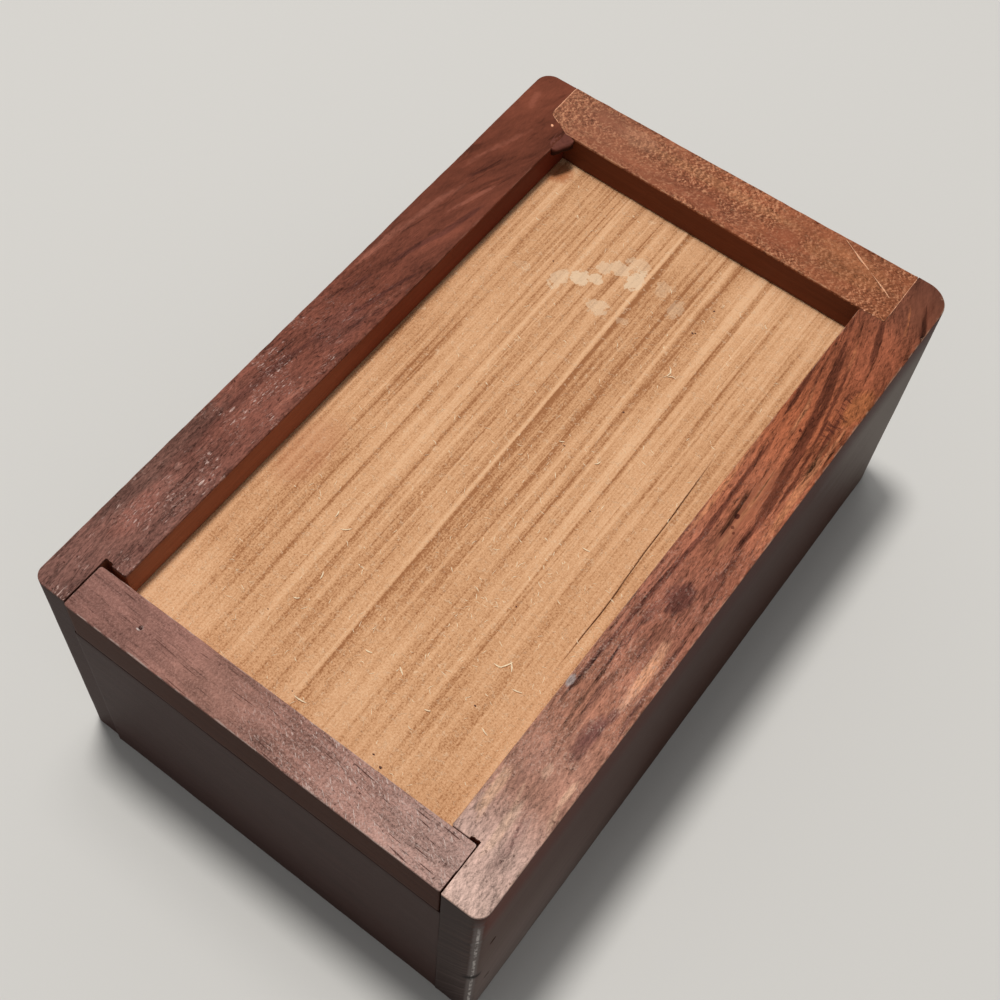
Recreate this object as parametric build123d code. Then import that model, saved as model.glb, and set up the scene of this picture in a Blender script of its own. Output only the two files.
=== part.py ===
from build123d import *
import os

# A rosewood box with a sliding lid. The four walls stand in a frame, held at the
# corners by rabbets, glue and wire brads. The lid is a thin fibreboard panel that
# carries a rosewood strip along its front edge: it slides in grooves in the side
# walls, and its strip passes out between the side walls' lips.
#
# Frame: millimetres, +Z up, origin at the middle of the underside.
# The lid's finger end is the front, at -Y. Left is -X, seen from the front.

# Outside
width = 89.0                   # across X, over the side walls
length = 140.7                 # along Y, over the right wall, which is the longest
height = 57.5                  # from the underside to the rim
left_front = -69.8             # the left wall ends a little short of the right one
left_back = 70.0
front_face = -70.2             # outer face of the front wall and of the lid's strip
back_face_left = 70.05         # the back wall stands a little askew
back_face_right = 70.3
front_corner_radius = 2.3      # upright corners, rounded by hand
back_left_corner_radius = 3.0
back_right_corner_radius = 5.0

# Side walls: planed by hand, so each is a little thicker at one end
left_thick_front = 11.75
left_thick_back = 12.45
right_thick_front = 12.25
right_thick_back = 12.25

# Corner rabbets: the lip stays on the outside and covers the end wall's end grain
left_front_lip = 7.05          # lip thicknesses
left_back_lip = 7.4
right_lip = 7.3
left_front_rabbet = 9.05       # rabbet lengths, from the end of the side wall
right_front_rabbet = 9.05
left_back_rabbet = 8.3         # at the lip; this shoulder slopes to the next value
left_back_rabbet_inner = 11.0
right_back_rabbet = 12.6
kerf_width = 1.8               # the saw ran deeper beside the front lips
kerf_depth = 0.55

# End walls: the back one reaches from rabbet shoulder to outer face
front_thick = 8.8
front_drop = 10.7              # from the rim down to the front wall's top

# Lid
panel_thick = 3.0
lid_recess = 6.8               # from the rim down to the lid panel
groove_depth_side = 36.8       # from the middle plane to the bottom of a side groove
groove_play = 0.2              # above and below the panel in its groove
back_groove_y = 63.1           # bottom of the back wall's grooves
panel_side_play = 0.4
panel_end_play = 0.5
strip_side_play_left = 0.3
strip_side_play_right = 0.25
strip_play_under = 0.2
strip_back_askew = 0.2         # the strip is this much thinner at its left end
strip_tongue_rabbet = 5.6      # how far the panel reaches under the strip

# Base
base_height = 4.0              # underside of the base panel
base_groove_depth = 4.0        # into the front wall
base_play = 0.2

# Fixings
brad_radius = 0.6
brad_length = 18.0
brad_set = 0.5                 # driven this far below the surface
brad_heights = (13.0, 35.2)
pin_radius = 0.4
pin_spacing = 49.6
pin_set = 0.4
cutter_over = 1.0              # drills start this far outside the surface

same_place = 0.01              # two plan points closer than this are one corner

# Worked out from the sizes above
half_width = width / 2
half_length = length / 2
left_lip_x = -half_width + left_front_lip
left_back_lip_x = -half_width + left_back_lip
right_lip_x = half_width - right_lip
panel_top = height - lid_recess
panel_bottom = panel_top - panel_thick
groove_low = panel_bottom - groove_play
groove_high = panel_top + groove_play
front_top = height - front_drop
strip_bottom = front_top + strip_play_under
strip_back = front_face + front_thick
base_top = base_height + panel_thick
brad_y = -front_face - front_thick / 2
pin_y = -brad_y


def block(x_low, x_high, y_low, y_high, z_low, z_high):
    """A box between two corners."""
    size = (x_high - x_low, y_high - y_low, z_high - z_low)
    centre = ((x_high + x_low) / 2, (y_high + y_low) / 2, (z_high + z_low) / 2)
    return Pos(*centre) * Box(*size)


def upright(outline, z_low, z_high):
    """A plan outline stood up between two heights."""
    face = make_face(Polyline(*outline, close=True))
    return Pos(0, 0, z_low) * extrude(face, z_high - z_low, dir=(0, 0, 1))


def rounded(solid, corner_x, corner_y, radius):
    """Rounds the upright edge that stands at a plan corner."""
    corner = Vector(corner_x, corner_y, 0)
    edges = [edge for edge in solid.edges().filter_by(Axis.Z)
             if (edge.position_at(0) - corner).cross(Vector(0, 0, 1)).length < same_place]
    return fillet(edges, radius)


def brad_holes(x_sign, y_sign, radius, from_face, depth):
    """Cylinders along X at one corner, from a depth below the outer face inwards."""
    middle = x_sign * (half_width - from_face - depth / 2)
    return [Pos(middle, y_sign * brad_y, z) * Rot(0, 90, 0) * Cylinder(radius, depth)
            for z in brad_heights]


def all_brad_holes():
    """The drilled holes at the four corners, open at the outer faces."""
    holes = Part()
    for x_sign in (-1, 1):
        for y_sign in (-1, 1):
            holes += brad_holes(x_sign, y_sign, brad_radius, -cutter_over,
                                cutter_over + brad_set + brad_length)
    return holes


def side_wall(x_sign, front, back, thick_front, thick_back, front_lip, front_rabbet,
              back_lip, back_rabbet, back_rabbet_inner, back_radius):
    """A side wall with its rabbets, both grooves and its rounded corners."""
    outer = x_sign * half_width
    lip_front = x_sign * (half_width - front_lip)
    lip_back = x_sign * (half_width - back_lip)
    kerf_inner = x_sign * (half_width - front_lip - kerf_width)
    inner_front = x_sign * (half_width - thick_front)
    inner_back = x_sign * (half_width - thick_back)
    front_shoulder = front + front_rabbet
    outline = [
        (outer, front),
        (lip_front, front),
        (lip_front, front_shoulder + kerf_depth),
        (kerf_inner, front_shoulder + kerf_depth),
        (kerf_inner, front_shoulder),
        (inner_front, front_shoulder),
        (inner_back, back - back_rabbet_inner),
        (lip_back, back - back_rabbet),
        (lip_back, back),
        (outer, back),
    ]
    wall = upright(outline, 0, height)
    wall = rounded(wall, outer, front, front_corner_radius)
    wall = rounded(wall, outer, back, back_radius)
    groove_x = sorted((0, x_sign * groove_depth_side))
    lid_groove = block(*groove_x, -half_length, half_length, groove_low, groove_high)
    base_groove = block(*groove_x, -half_length, half_length, base_height, base_top)
    return wall - lid_groove - base_groove - all_brad_holes()


def back_wall():
    """The back wall, full height, grooved for the lid and the base."""
    outline = [
        (left_back_lip_x, back_face_left),
        (left_back_lip_x, left_back - left_back_rabbet),
        (-half_width + left_thick_back, left_back - left_back_rabbet_inner),
        (half_width - right_thick_back, half_length - right_back_rabbet),
        (right_lip_x, half_length - right_back_rabbet),
        (right_lip_x, back_face_right),
    ]
    wall = upright(outline, 0, height)
    lid_groove = block(-half_width, half_width, 0, back_groove_y, groove_low, groove_high)
    base_groove = block(-half_width, half_width, 0, back_groove_y, base_height, base_top)
    return wall - lid_groove - base_groove - all_brad_holes()


def front_wall():
    """The low front wall that the lid slides over, grooved for the base."""
    wall = block(left_lip_x, right_lip_x, front_face, strip_back, 0, front_top)
    base_groove = block(-half_width, half_width, strip_back - base_groove_depth, 0,
                        base_height, base_top)
    return wall - base_groove - all_brad_holes()


def base_panel():
    """The fibreboard base, glued into the grooves of all four walls."""
    edge_x = groove_depth_side - base_play
    return block(-edge_x, edge_x, strip_back - base_groove_depth + base_play,
                 back_groove_y - base_play, base_height, base_top)


def pins(radius, z_low, z_high):
    """The two upright pins, or their holes, in the lid's strip."""
    tall = z_high - z_low
    return [Pos(x, pin_y, z_low + tall / 2) * Cylinder(radius, tall)
            for x in (-pin_spacing / 2, pin_spacing / 2)]


def lid_panel():
    """The fibreboard panel that runs in the side grooves and under the strip."""
    edge_x = groove_depth_side - panel_side_play
    panel = block(-edge_x, edge_x, strip_back - strip_tongue_rabbet,
                  back_groove_y - panel_end_play, panel_bottom, panel_top)
    return panel - pins(pin_radius, panel_bottom + pin_set, panel_top)


def lid_end_strip():
    """The rosewood strip that closes the front of the rim and is glued on the panel."""
    left = left_lip_x + strip_side_play_left
    right = right_lip_x - strip_side_play_right
    outline = [(left, front_face), (right, front_face), (right, strip_back),
               (left, strip_back - strip_back_askew)]
    strip = upright(outline, strip_bottom, height)
    seat = block(-half_width, half_width, strip_back - strip_tongue_rabbet, 0,
                 0, panel_top)
    return strip - seat - pins(pin_radius, panel_top, height)


def corner_brads():
    """Wire brads through the lips into the end walls' end grain, all alike."""
    return [brad for x_sign in (-1, 1) for y_sign in (-1, 1)
            for brad in brad_holes(x_sign, y_sign, brad_radius, brad_set, brad_length)]


parts = {
    "left_side": side_wall(-1, left_front, left_back, left_thick_front, left_thick_back,
                           left_front_lip, left_front_rabbet, left_back_lip,
                           left_back_rabbet, left_back_rabbet_inner,
                           back_left_corner_radius),
    "right_side": side_wall(1, -half_length, half_length, right_thick_front,
                            right_thick_back, right_lip, right_front_rabbet, right_lip,
                            right_back_rabbet, right_back_rabbet,
                            back_right_corner_radius),
    "back_end": back_wall(),
    "front_end": front_wall(),
    "base_panel": base_panel(),
    "corner_brads": Compound(corner_brads()),
    "lid_panel": lid_panel(),
    "lid_end_strip": lid_end_strip(),
    "lid_pins": Compound(pins(pin_radius, panel_bottom + pin_set, height - pin_set)),
}

os.makedirs("parts", exist_ok=True)
for name, solid in parts.items():
    export_step(solid, f"parts/{name}.step")
    print(name, round(solid.volume, 1), "mm3")
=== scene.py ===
import math
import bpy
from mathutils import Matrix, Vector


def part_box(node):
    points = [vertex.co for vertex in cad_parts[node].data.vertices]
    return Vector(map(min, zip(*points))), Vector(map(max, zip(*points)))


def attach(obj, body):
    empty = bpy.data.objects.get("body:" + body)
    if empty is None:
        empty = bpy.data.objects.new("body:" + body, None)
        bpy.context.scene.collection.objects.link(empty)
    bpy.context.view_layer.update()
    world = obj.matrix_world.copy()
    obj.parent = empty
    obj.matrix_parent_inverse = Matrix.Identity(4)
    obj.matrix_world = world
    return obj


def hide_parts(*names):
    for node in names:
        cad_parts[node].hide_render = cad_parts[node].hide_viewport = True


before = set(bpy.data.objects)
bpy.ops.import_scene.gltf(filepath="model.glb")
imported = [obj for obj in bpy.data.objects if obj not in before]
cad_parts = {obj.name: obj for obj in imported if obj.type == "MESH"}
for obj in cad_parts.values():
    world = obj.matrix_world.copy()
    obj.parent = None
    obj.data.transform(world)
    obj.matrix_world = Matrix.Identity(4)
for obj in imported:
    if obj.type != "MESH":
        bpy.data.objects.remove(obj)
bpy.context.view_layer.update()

from types import SimpleNamespace
import bpy
import numpy as np
from mathutils import Matrix, Vector
from mathutils.geometry import delaunay_2d_cdt

mm = 0.001                      # all sizes below are millimetres, meshes are metres
scene = bpy.context.scene


# colours and noise
def paint(red, green, blue):
    # screen values 0-255 to the linear colour that a shader wants
    screen = np.array([red, green, blue]) / 255
    linear = np.where(screen <= 0.04045, screen / 12.92, ((screen + 0.055) / 1.055) ** 2.4)
    return (*linear.tolist(), 1.0)


def softNoise(points, cell, seed):
    # value noise from -1 to 1: random numbers on a lattice, blended with s*s*(3-2s)
    table = np.random.default_rng(seed).uniform(-1, 1, 4096)
    place = np.asarray(points, float) / cell
    corner = np.floor(place).astype(np.int64)
    blend = place - corner
    blend = blend * blend * (3 - 2 * blend)
    primes = (73856093, 19349663, 83492791)
    total = 0
    for step in np.ndindex(*(2,) * place.shape[-1]):
        index = np.zeros(place.shape[:-1], np.int64)
        weight = np.ones(place.shape[:-1])
        for axis, side in enumerate(step):
            index ^= (corner[..., axis] + side) * primes[axis]
            part = blend[..., axis]
            weight = weight * (part if side else 1 - part)
        total = total + table[index & 4095] * weight
    return total


def layeredNoise(points, cell, seed, layers=3):
    # each layer is half as large and half as strong as the one before
    return sum(softNoise(points, cell / 2 ** k, seed + k) / 2 ** k for k in range(layers))


# meshes
def meshFrom(name, points, faces):
    # faces: arrays of corner numbers, one array for each face size
    mesh = bpy.data.meshes.new(name)
    faces = [np.asarray(f) for f in faces if len(f)]
    corners = np.concatenate([f.ravel() for f in faces]).astype(np.int32)
    counts = np.concatenate([np.full(len(f), f.shape[1]) for f in faces])
    starts = np.concatenate([[0], np.cumsum(counts)[:-1]]).astype(np.int32)
    mesh.vertices.add(len(points))
    mesh.vertices.foreach_set("co", (np.asarray(points) * mm).astype(np.float32).ravel())
    mesh.loops.add(len(corners))
    mesh.loops.foreach_set("vertex_index", corners)
    mesh.polygons.add(len(counts))
    mesh.polygons.foreach_set("loop_start", starts)
    mesh.update(calc_edges=True)
    piece = bpy.data.objects.new(name, mesh)
    scene.collection.objects.link(piece)
    return piece


def gridFaces(rows, columns, closed):
    # quads between neighbours of a rows x columns grid of points, row after row
    row, column = np.mgrid[0:rows - 1, 0:columns if closed else columns - 1]
    right = (column + 1) % columns
    return np.stack([row * columns + column, row * columns + right,
                     (row + 1) * columns + right, (row + 1) * columns + column],
                    -1).reshape(-1, 4)


def store(piece, values):
    # numbers at the mesh's points, which a material reads by name
    for key, value in values.items():
        made = piece.data.attributes.new(key, "FLOAT", "POINT")
        made.data.foreach_set("value", value.astype(np.float32))


def shadeSoft(piece, angle=40):
    # smooth, but for edges sharper than the angle in degrees
    mesh = piece.data
    mesh.polygons.foreach_set("use_smooth", np.ones(len(mesh.polygons), bool))
    mesh.set_sharp_from_angle(angle=math.radians(angle))


def roundPlan(corners, step):
    # corners: x, y, corner radius, edge wear radius of the side that follows.
    # Each corner becomes an arc tangent to its two sides; sides are divided evenly.
    place = np.array([c[:2] for c in corners], float)
    before = np.roll(place, 1, 0) - place
    after = np.roll(place, -1, 0) - place
    before /= np.linalg.norm(before, axis=1)[:, None]
    after /= np.linalg.norm(after, axis=1)[:, None]
    half = np.arccos(np.clip((before * after).sum(1), -1, 1)) / 2
    radius = np.array([c[2] for c in corners], float)
    reach = radius / np.tan(half)
    centre = place + (before + after) / np.linalg.norm(before + after, axis=1)[:, None] \
        * (radius / np.sin(half))[:, None]
    plan, wear = [], []
    for k in range(len(corners)):
        first = place[k] + before[k] * reach[k] - centre[k]
        last = place[k] + after[k] * reach[k] - centre[k]
        turn = math.pi - 2 * half[k]
        bends = max(3, int(math.ceil(turn * radius[k] / step)))
        share = np.linspace(0, 1, bends + 1)[:, None]
        arc = (np.sin((1 - share) * turn) * first + np.sin(share * turn) * last) / math.sin(turn)
        plan.append(centre[k] + arc)
        wear.append(np.linspace(corners[k - 1][3], corners[k][3], bends + 1))
        later = (k + 1) % len(corners)
        start, end = place[k] + after[k] * reach[k], place[later] + before[later] * reach[later]
        pieces = max(1, int(round(np.linalg.norm(end - start) / step)))
        share = np.linspace(0, 1, pieces + 1)[1:-1, None]
        plan.append(start + share * (end - start))
        wear.append(np.full(pieces - 1, corners[k][3]))
    plan, wear = np.concatenate(plan), np.concatenate(wear)
    # a worn edge never reaches past the middle of a small outer corner
    outer = before[:, 0] * after[:, 1] - before[:, 1] * after[:, 0] < 0
    apart = np.linalg.norm(plan[:, None] - place[outer], axis=2)
    limit = (0.8 * radius[outer] + 0.6 * np.maximum(0, apart - radius[outer])).min(1)
    return plan, wear, limit


def insidePlan(points, plan):
    # a point is inside when a line from it crosses the outline an odd number of times
    nextPlan = np.roll(plan, -1, 0)
    x, y = points[:, :1], points[:, 1:]
    rises = (plan[:, 1] > y) != (nextPlan[:, 1] > y)
    slope = (nextPlan[:, 0] - plan[:, 0]) / (nextPlan[:, 1] - plan[:, 1] + 1e-12)
    crossing = plan[:, 0] + (y - plan[:, 1]) * slope
    return (rises & (x < crossing)).sum(1) % 2 == 1


def capFill(ring, spacing, seed):
    # triangles over a flat outline, with loose points inside for the surface's relief
    low, high = ring.min(0), ring.max(0)
    across = np.arange(low[0] + spacing, high[0], spacing)
    along = np.arange(low[1] + spacing, high[1], spacing)
    loose = np.stack(np.meshgrid(across, along), -1).reshape(-1, 2)
    loose += np.random.default_rng(seed).uniform(-0.2, 0.2, loose.shape) * spacing
    loose = loose[insidePlan(loose, ring)]
    gap = np.array([np.hypot(*(ring - p).T).min() for p in loose])
    loose = loose[gap > spacing * 0.6]
    points = np.concatenate([ring, loose])
    count = len(ring)
    edges = [(k, (k + 1) % count) for k in range(count)]
    found = delaunay_2d_cdt([Vector(p) for p in points], edges, [], 1, 1e-6)
    order = np.array([source[0] for source in found[3]])
    return loose, order[np.array(found[2])]


def edgeRows(low, high, under, wear, rowStep):
    # How far in and how high each row of points is, from the underside up: a quarter
    # round, even rows and another quarter round. A round of radius r is r*(1-cos t) in
    # and r*(1-sin t) from its face.
    quarter = np.radians(np.linspace(0, 90, 5))[:, None]
    below = quarter[::-1]
    share = np.linspace(0, 1, max(2, int((high - low) / rowStep)) + 1)[1:-1, None]
    insets = [under * (1 - np.cos(below)), np.zeros((len(share), len(wear))),
              wear * (1 - np.cos(quarter))]
    heights = [low + under * (1 - np.sin(below)),
               low + under + share * (high - wear - low - under),
               high - wear * (1 - np.sin(quarter))]
    return np.concatenate(insets), np.concatenate(heights)


def capped(name, skin, low, high, capStep, seed, topRelief):
    # rows of points closed by a top, which may have a relief, and an underside
    rows, columns = skin.shape[:2]
    skinCount = rows * columns
    topLoose, topFaces = capFill(skin[-1, :, :2], capStep, seed + 1)
    lowLoose, lowFaces = capFill(skin[0, :, :2], 2.5, seed + 2)
    top = np.column_stack([topLoose, np.full(len(topLoose), high)])
    bottom = np.column_stack([lowLoose, np.full(len(lowLoose), low)])
    if topRelief is not None:
        top[:, 2] += topRelief(topLoose)
    topFaces = np.where(topFaces < columns, topFaces + skinCount - columns,
                        topFaces - columns + skinCount)
    lowFaces = np.where(lowFaces < columns, lowFaces,
                        lowFaces - columns + skinCount + len(topLoose))
    return meshFrom(name, np.concatenate([skin.reshape(-1, 3), top, bottom]),
                    [gridFaces(rows, columns, True), topFaces, lowFaces[:, ::-1]])


def board(name, corners, low, high, seed, step=0.5, rowStep=1.5, capStep=0.8,
          underWear=0.4, wave=0.06, topRelief=None, chips=()):
    # A plan outline stood up between two heights. Its edges are worn round, and more so
    # at the chips (x, y, reach, depth). The sides dip inwards by a slow noise, so that
    # nothing stands out of the size.
    plan, wear, limit = roundPlan(corners, step)
    tangent = np.roll(plan, -1, 0) - np.roll(plan, 1, 0)
    inward = np.stack([-tangent[:, 1], tangent[:, 0]], 1)
    inward /= np.linalg.norm(inward, axis=1)[:, None]
    rough = layeredNoise(plan, 3.0, seed + 50)
    wear = wear * (1 + 0.5 * rough)
    for x, y, reach, depth in chips:
        apart = np.hypot(plan[:, 0] - x, plan[:, 1] - y)
        wear = wear + depth * np.exp(-(apart / reach) ** 2)
    limit = np.maximum(limit - wave, 0.02)
    wear = np.minimum(wear, limit)
    under = np.minimum(underWear * (1 + 0.3 * rough), limit)
    insets, heights = edgeRows(low, high, under, wear, rowStep)
    space = np.concatenate([np.broadcast_to(plan, (*heights.shape, 2)), heights[..., None]], -1)
    dip = wave * (0.5 + 0.5 * np.clip(layeredNoise(space, 14.0, seed), -1, 1))
    flat = plan + inward * (insets + dip)[..., None]
    skin = np.concatenate([flat, heights[..., None]], -1)
    return capped(name, skin, low, high, capStep, seed, topRelief)


def blockCutter(low, high):
    # a plain block between two corners
    x, y, z = np.meshgrid(*[(a, b) for a, b in zip(low, high)], indexing="ij")
    points = np.stack([x, y, z], -1).reshape(-1, 3)
    faces = [(0, 1, 3, 2), (4, 6, 7, 5), (0, 4, 5, 1), (2, 3, 7, 6), (0, 2, 6, 4),
             (1, 5, 7, 3)]
    return points, [np.array(faces)]


def turned(profile, foot, axis, sides=24):
    # a profile of (distance along the axis, radius), turned about an axis through foot
    axis = np.array(axis, float) / np.linalg.norm(axis)
    across = np.cross(axis, (0, 0, 1) if abs(axis[2]) < 0.9 else (1, 0, 0))
    across /= np.linalg.norm(across)
    third = np.cross(axis, across)
    angle = np.linspace(0, 2 * np.pi, sides, endpoint=False)
    ring = np.cos(angle)[:, None] * across + np.sin(angle)[:, None] * third
    profile = np.array(profile, float)
    points = np.array(foot) + profile[:, :1, None] * axis + profile[:, 1:, None] * ring
    rows = len(profile)
    ends = np.array([points[0].mean(0), points[-1].mean(0)])
    points = np.concatenate([points.reshape(-1, 3), ends])
    around = np.arange(sides)
    later = (around + 1) % sides
    first = np.column_stack([later, around, np.full(sides, rows * sides)])
    last = np.column_stack([around + (rows - 1) * sides, later + (rows - 1) * sides,
                            np.full(sides, rows * sides + 1)])
    return points, [gridFaces(rows, sides, True), first, last]


def joined(name, parts):
    # several closed shapes in one mesh
    points, bySize, start = [], {}, 0
    for shape, faces in parts:
        points.append(shape)
        for f in faces:
            bySize.setdefault(f.shape[1], []).append(f + start)
        start += len(shape)
    return meshFrom(name, np.concatenate(points), [np.concatenate(f) for f in bySize.values()])


def carve(piece, cutters):
    # takes the cutters' shapes out of the piece and keeps the result as its mesh
    tool = joined(piece.name + "Cutter", cutters)
    cut = piece.modifiers.new("cut", "BOOLEAN")
    cut.operation = "DIFFERENCE"
    cut.solver = "EXACT"
    cut.object = tool
    state = bpy.context.evaluated_depsgraph_get()
    result = bpy.data.meshes.new_from_object(piece.evaluated_get(state))
    piece.modifiers.clear()
    old = piece.data
    piece.data = result
    bpy.data.meshes.remove(old)
    toolMesh = tool.data
    bpy.data.objects.remove(tool)
    bpy.data.meshes.remove(toolMesh)
    result.name = piece.name


def fit(piece, material, body, slotName, *nodes):
    # finish, CAD body and material slot name, which is not used; the nodes are those that the
    # piece stands for
    piece.data.materials.clear()
    piece.data.materials.append(material)
    shadeSoft(piece)
    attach(piece, body)
    if nodes:
        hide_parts(*nodes)
    print("made", piece.name, len(piece.data.polygons), "faces")


# sizes from the frame
leftLow, leftHigh = (np.array(corner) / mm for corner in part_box("left_side"))
rightLow, rightHigh = (np.array(corner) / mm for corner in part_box("right_side"))
backLow, backHigh = (np.array(corner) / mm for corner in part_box("back_end"))
panelLow, panelHigh = (np.array(corner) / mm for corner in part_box("lid_panel"))
stripLow, stripHigh = (np.array(corner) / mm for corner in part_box("lid_end_strip"))
frontLow, frontHigh = (np.array(corner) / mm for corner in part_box("front_end"))
baseLow, baseHigh = (np.array(corner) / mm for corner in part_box("base_panel"))
halfWidth = -leftLow[0]
rim = leftHigh[2]
leftLip, rightLip = frontLow[0], frontHigh[0]       # inner faces of the lips
leftBackLip = backLow[0]

box = {
    "leftFront": 11.75, "leftBack": 12.45,    # wall thickness at each end
    "rightFront": 12.25, "rightBack": 12.25,
    "frontCorner": 2.3, "backLeftCorner": 3.0, "backRightCorner": 5.0,
    "leftRabbet": 9.05, "rightRabbet": 9.05,  # front rabbets, from the wall's end
    "leftBackRabbet": 8.3, "leftBackInner": 11.0, "rightBackRabbet": 12.6,
    "backFaceLeft": 70.05, "backGrooveY": 63.1, "grooveX": 36.8, "groovePlay": 0.2,
    "outerWear": 0.22, "endWear": 0.2, "innerWear": 0.22, "jointWear": 0.08,
    "bradHeights": (13.0, 35.2), "bradSet": 0.5,
    # distance into the wood and radius: the brads' holes have mouths that are crushed open
    "bradHole": [(-1.0, 0.95), (0.0, 0.85), (0.35, 0.63), (18.6, 0.61)],
    # nicks: place (x, y, z), outwards, along the cut, length, width, depth
    "bradNick": ((halfWidth, -65.8, 35.2), (1, 0, 0), (0, 1, -0.6), 3.0, 0.7, 0.45),
    "cornerNick": ((44.1, -69.3, 22.3), (1, -0.6, 0), (0.6, 1, -0.1), 4.4, 1.5, 0.9),
}
bradY = -(frontHigh[1] + frontLow[1]) / 2
grooveLow = panelLow[2] - box["groovePlay"]
grooveHigh = panelHigh[2] + box["groovePlay"]
far = 90.0                      # cutters reach this far past the box


def bradCutters(sign, ySigns):
    # the brads' holes in from one side (sign of x) at the given ends (signs of y)
    return [turned(box["bradHole"], (sign * halfWidth, y * bradY, z), (-sign, 0, 0))
            for y in ySigns for z in box["bradHeights"]]


def sideGrooves(sign):
    # the lid's and the base's grooves in a side wall
    low, high = sorted((0, sign * box["grooveX"]))
    return [blockCutter((low, -far, bottom), (high, far, top))
            for bottom, top in ((grooveLow, grooveHigh), (baseLow[2], baseHigh[2]))]


def prism(plan, low, high):
    # a small upright solid over a plan outline given anticlockwise
    count = len(plan)
    plan = np.asarray(plan, float)
    points = np.concatenate([np.column_stack([plan, np.full(count, low)]),
                             np.column_stack([plan, np.full(count, high)])])
    around = np.arange(count)
    later = np.roll(around, -1)
    sides = np.stack([around, later, later + count, around + count], -1)
    fan = np.stack([np.zeros(count - 2, int), around[1:-1], around[2:]], -1)
    return points, [sides, fan + count, fan[:, ::-1]]


def kerfPlan(sign, lip, shoulder):
    # where the saw ran past the shoulder beside the lip, with a broken back edge
    inner, outer = abs(lip) - 1.75, abs(lip) + 0.06
    plan = [(inner, shoulder - 0.3), (outer, shoulder - 0.3), (outer, shoulder + 0.52),
            (outer - 0.35, shoulder + 0.62), (outer - 0.8, shoulder + 0.5),
            (outer - 1.2, shoulder + 0.58), (inner + 0.1, shoulder + 0.42)]
    plan = [(sign * x, y) for x, y in plan]
    return plan if sign > 0 else plan[::-1]


def nick(foot, outward, run, length, width, depth):
    # a lens-shaped cut: foot on the surface, run along the cut
    outward = np.array(outward, float) / np.linalg.norm(outward)
    run = np.array(run, float) / np.linalg.norm(run)
    angle = np.linspace(0, math.pi, 9)
    points, faces = turned(np.column_stack([-np.cos(angle), np.maximum(np.sin(angle), 0.02)]),
                           (0, 0, 0), (0, 0, 1), 16)
    side = np.cross(outward, run)
    points = points[:, :1] * side * width / 2 + points[:, 1:2] * run * length / 2 \
        + points[:, 2:] * outward * depth
    return points + np.array(foot), faces


nicks = [nick(*box["bradNick"]), nick(*box["cornerNick"])]


# Shader building blocks. A Value is a number inside a node tree: formulas written
# with + - * / become Math nodes.
class Value:
    def __init__(self, socket):
        self.socket, self.tree = socket, socket.id_data

    def calc(self, operation, second=0.0, first=None):
        sockets = {0: self if first is None else first, 1: second}
        return Value(node(self.tree, "Math", sockets, operation=operation).outputs[0])

    def atLeast(self, other):
        return self.calc("MAXIMUM", other)

    def __add__(self, other):
        return self.calc("ADD", other)

    def __sub__(self, other):
        return self.calc("SUBTRACT", other)

    def __rsub__(self, other):
        return self.calc("SUBTRACT", self, first=other)

    def __mul__(self, other):
        return self.calc("MULTIPLY", other)

    def __truediv__(self, other):
        return self.calc("DIVIDE", other)

    def __abs__(self):
        return self.calc("ABSOLUTE")

    __radd__, __rmul__ = __add__, __mul__


def node(tree, kind, sockets=None, **settings):
    # a node with its settings; a Value among the sockets becomes a link
    made = tree.nodes.new("ShaderNode" + kind)
    for key, value in settings.items():
        setattr(made, key, value)
    for key, value in (sockets or {}).items():
        if isinstance(value, Value):
            tree.links.new(value.socket, made.inputs[key])
        else:
            made.inputs[key].default_value = value
    return made


def newMaterial(name):
    # the tree and the object's own coordinates in millimetres
    material = bpy.data.materials.new(name)
    material.use_nodes = True
    tree = material.node_tree
    tree.nodes.clear()
    coordinates = Value(node(tree, "TexCoord").outputs["Object"])
    scaled = Value(node(tree, "VectorMath", {0: coordinates, "Scale": 1 / mm},
                        operation="SCALE").outputs[0])
    split = node(tree, "SeparateXYZ", {0: scaled})
    return material, tree, [Value(output) for output in split.outputs]


def noise(place, scale=1.0, detail=2.0, roughness=0.5, distortion=0.0):
    tree = next(part.tree for part in place if isinstance(part, Value))
    vector = Value(node(tree, "CombineXYZ", dict(enumerate(place))).outputs[0])
    return Value(node(tree, "TexNoise", {
        "Vector": vector, "Scale": scale, "Detail": detail, "Roughness": roughness,
        "Distortion": distortion}).outputs[0])


def fade(value, low, high, start=0.0, end=1.0):
    # start below low, end above high, and a smooth slope between
    return Value(node(value.tree, "MapRange", {0: value, 1: low, 2: high, 3: start, 4: end},
                      interpolation_type="SMOOTHSTEP").outputs[0])


def ramp(value, stops, smooth="LINEAR"):
    made = node(value.tree, "ValToRGB", {0: value})
    elements = made.color_ramp.elements
    made.color_ramp.interpolation = smooth
    for element, (position, colour) in zip(elements, (stops[0], stops[-1])):
        element.position, element.color = position, colour
    for position, colour in stops[1:-1]:
        elements.new(position).color = colour
    return Value(made.outputs[0])


def painted(value, stops, smooth="EASE"):
    # a ramp over screen colours
    return ramp(value, [(position, paint(*tone)) for position, tone in stops], smooth)


def mix(factor, first, second, mode="MIX"):
    return Value(node(factor.tree, "Mix", {0: factor, 6: first, 7: second},
                      data_type="RGBA", blend_type=mode).outputs[2])


def attribute(tree, name):
    # a number that the mesh carries at its points
    return Value(node(tree, "Attribute", attribute_name=name).outputs["Fac"])


def oval(x, y, centre, reach, edge=0.0, soft=0.5):
    # 1 within an oval about centre and 0 outside it; edge makes its outline uneven
    across, along = (x - centre[0]) / reach[0], (y - centre[1]) / reach[1]
    return fade(across * across + along * along + edge, 1 - soft, 1 + soft, 1.0, 0.0)


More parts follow.
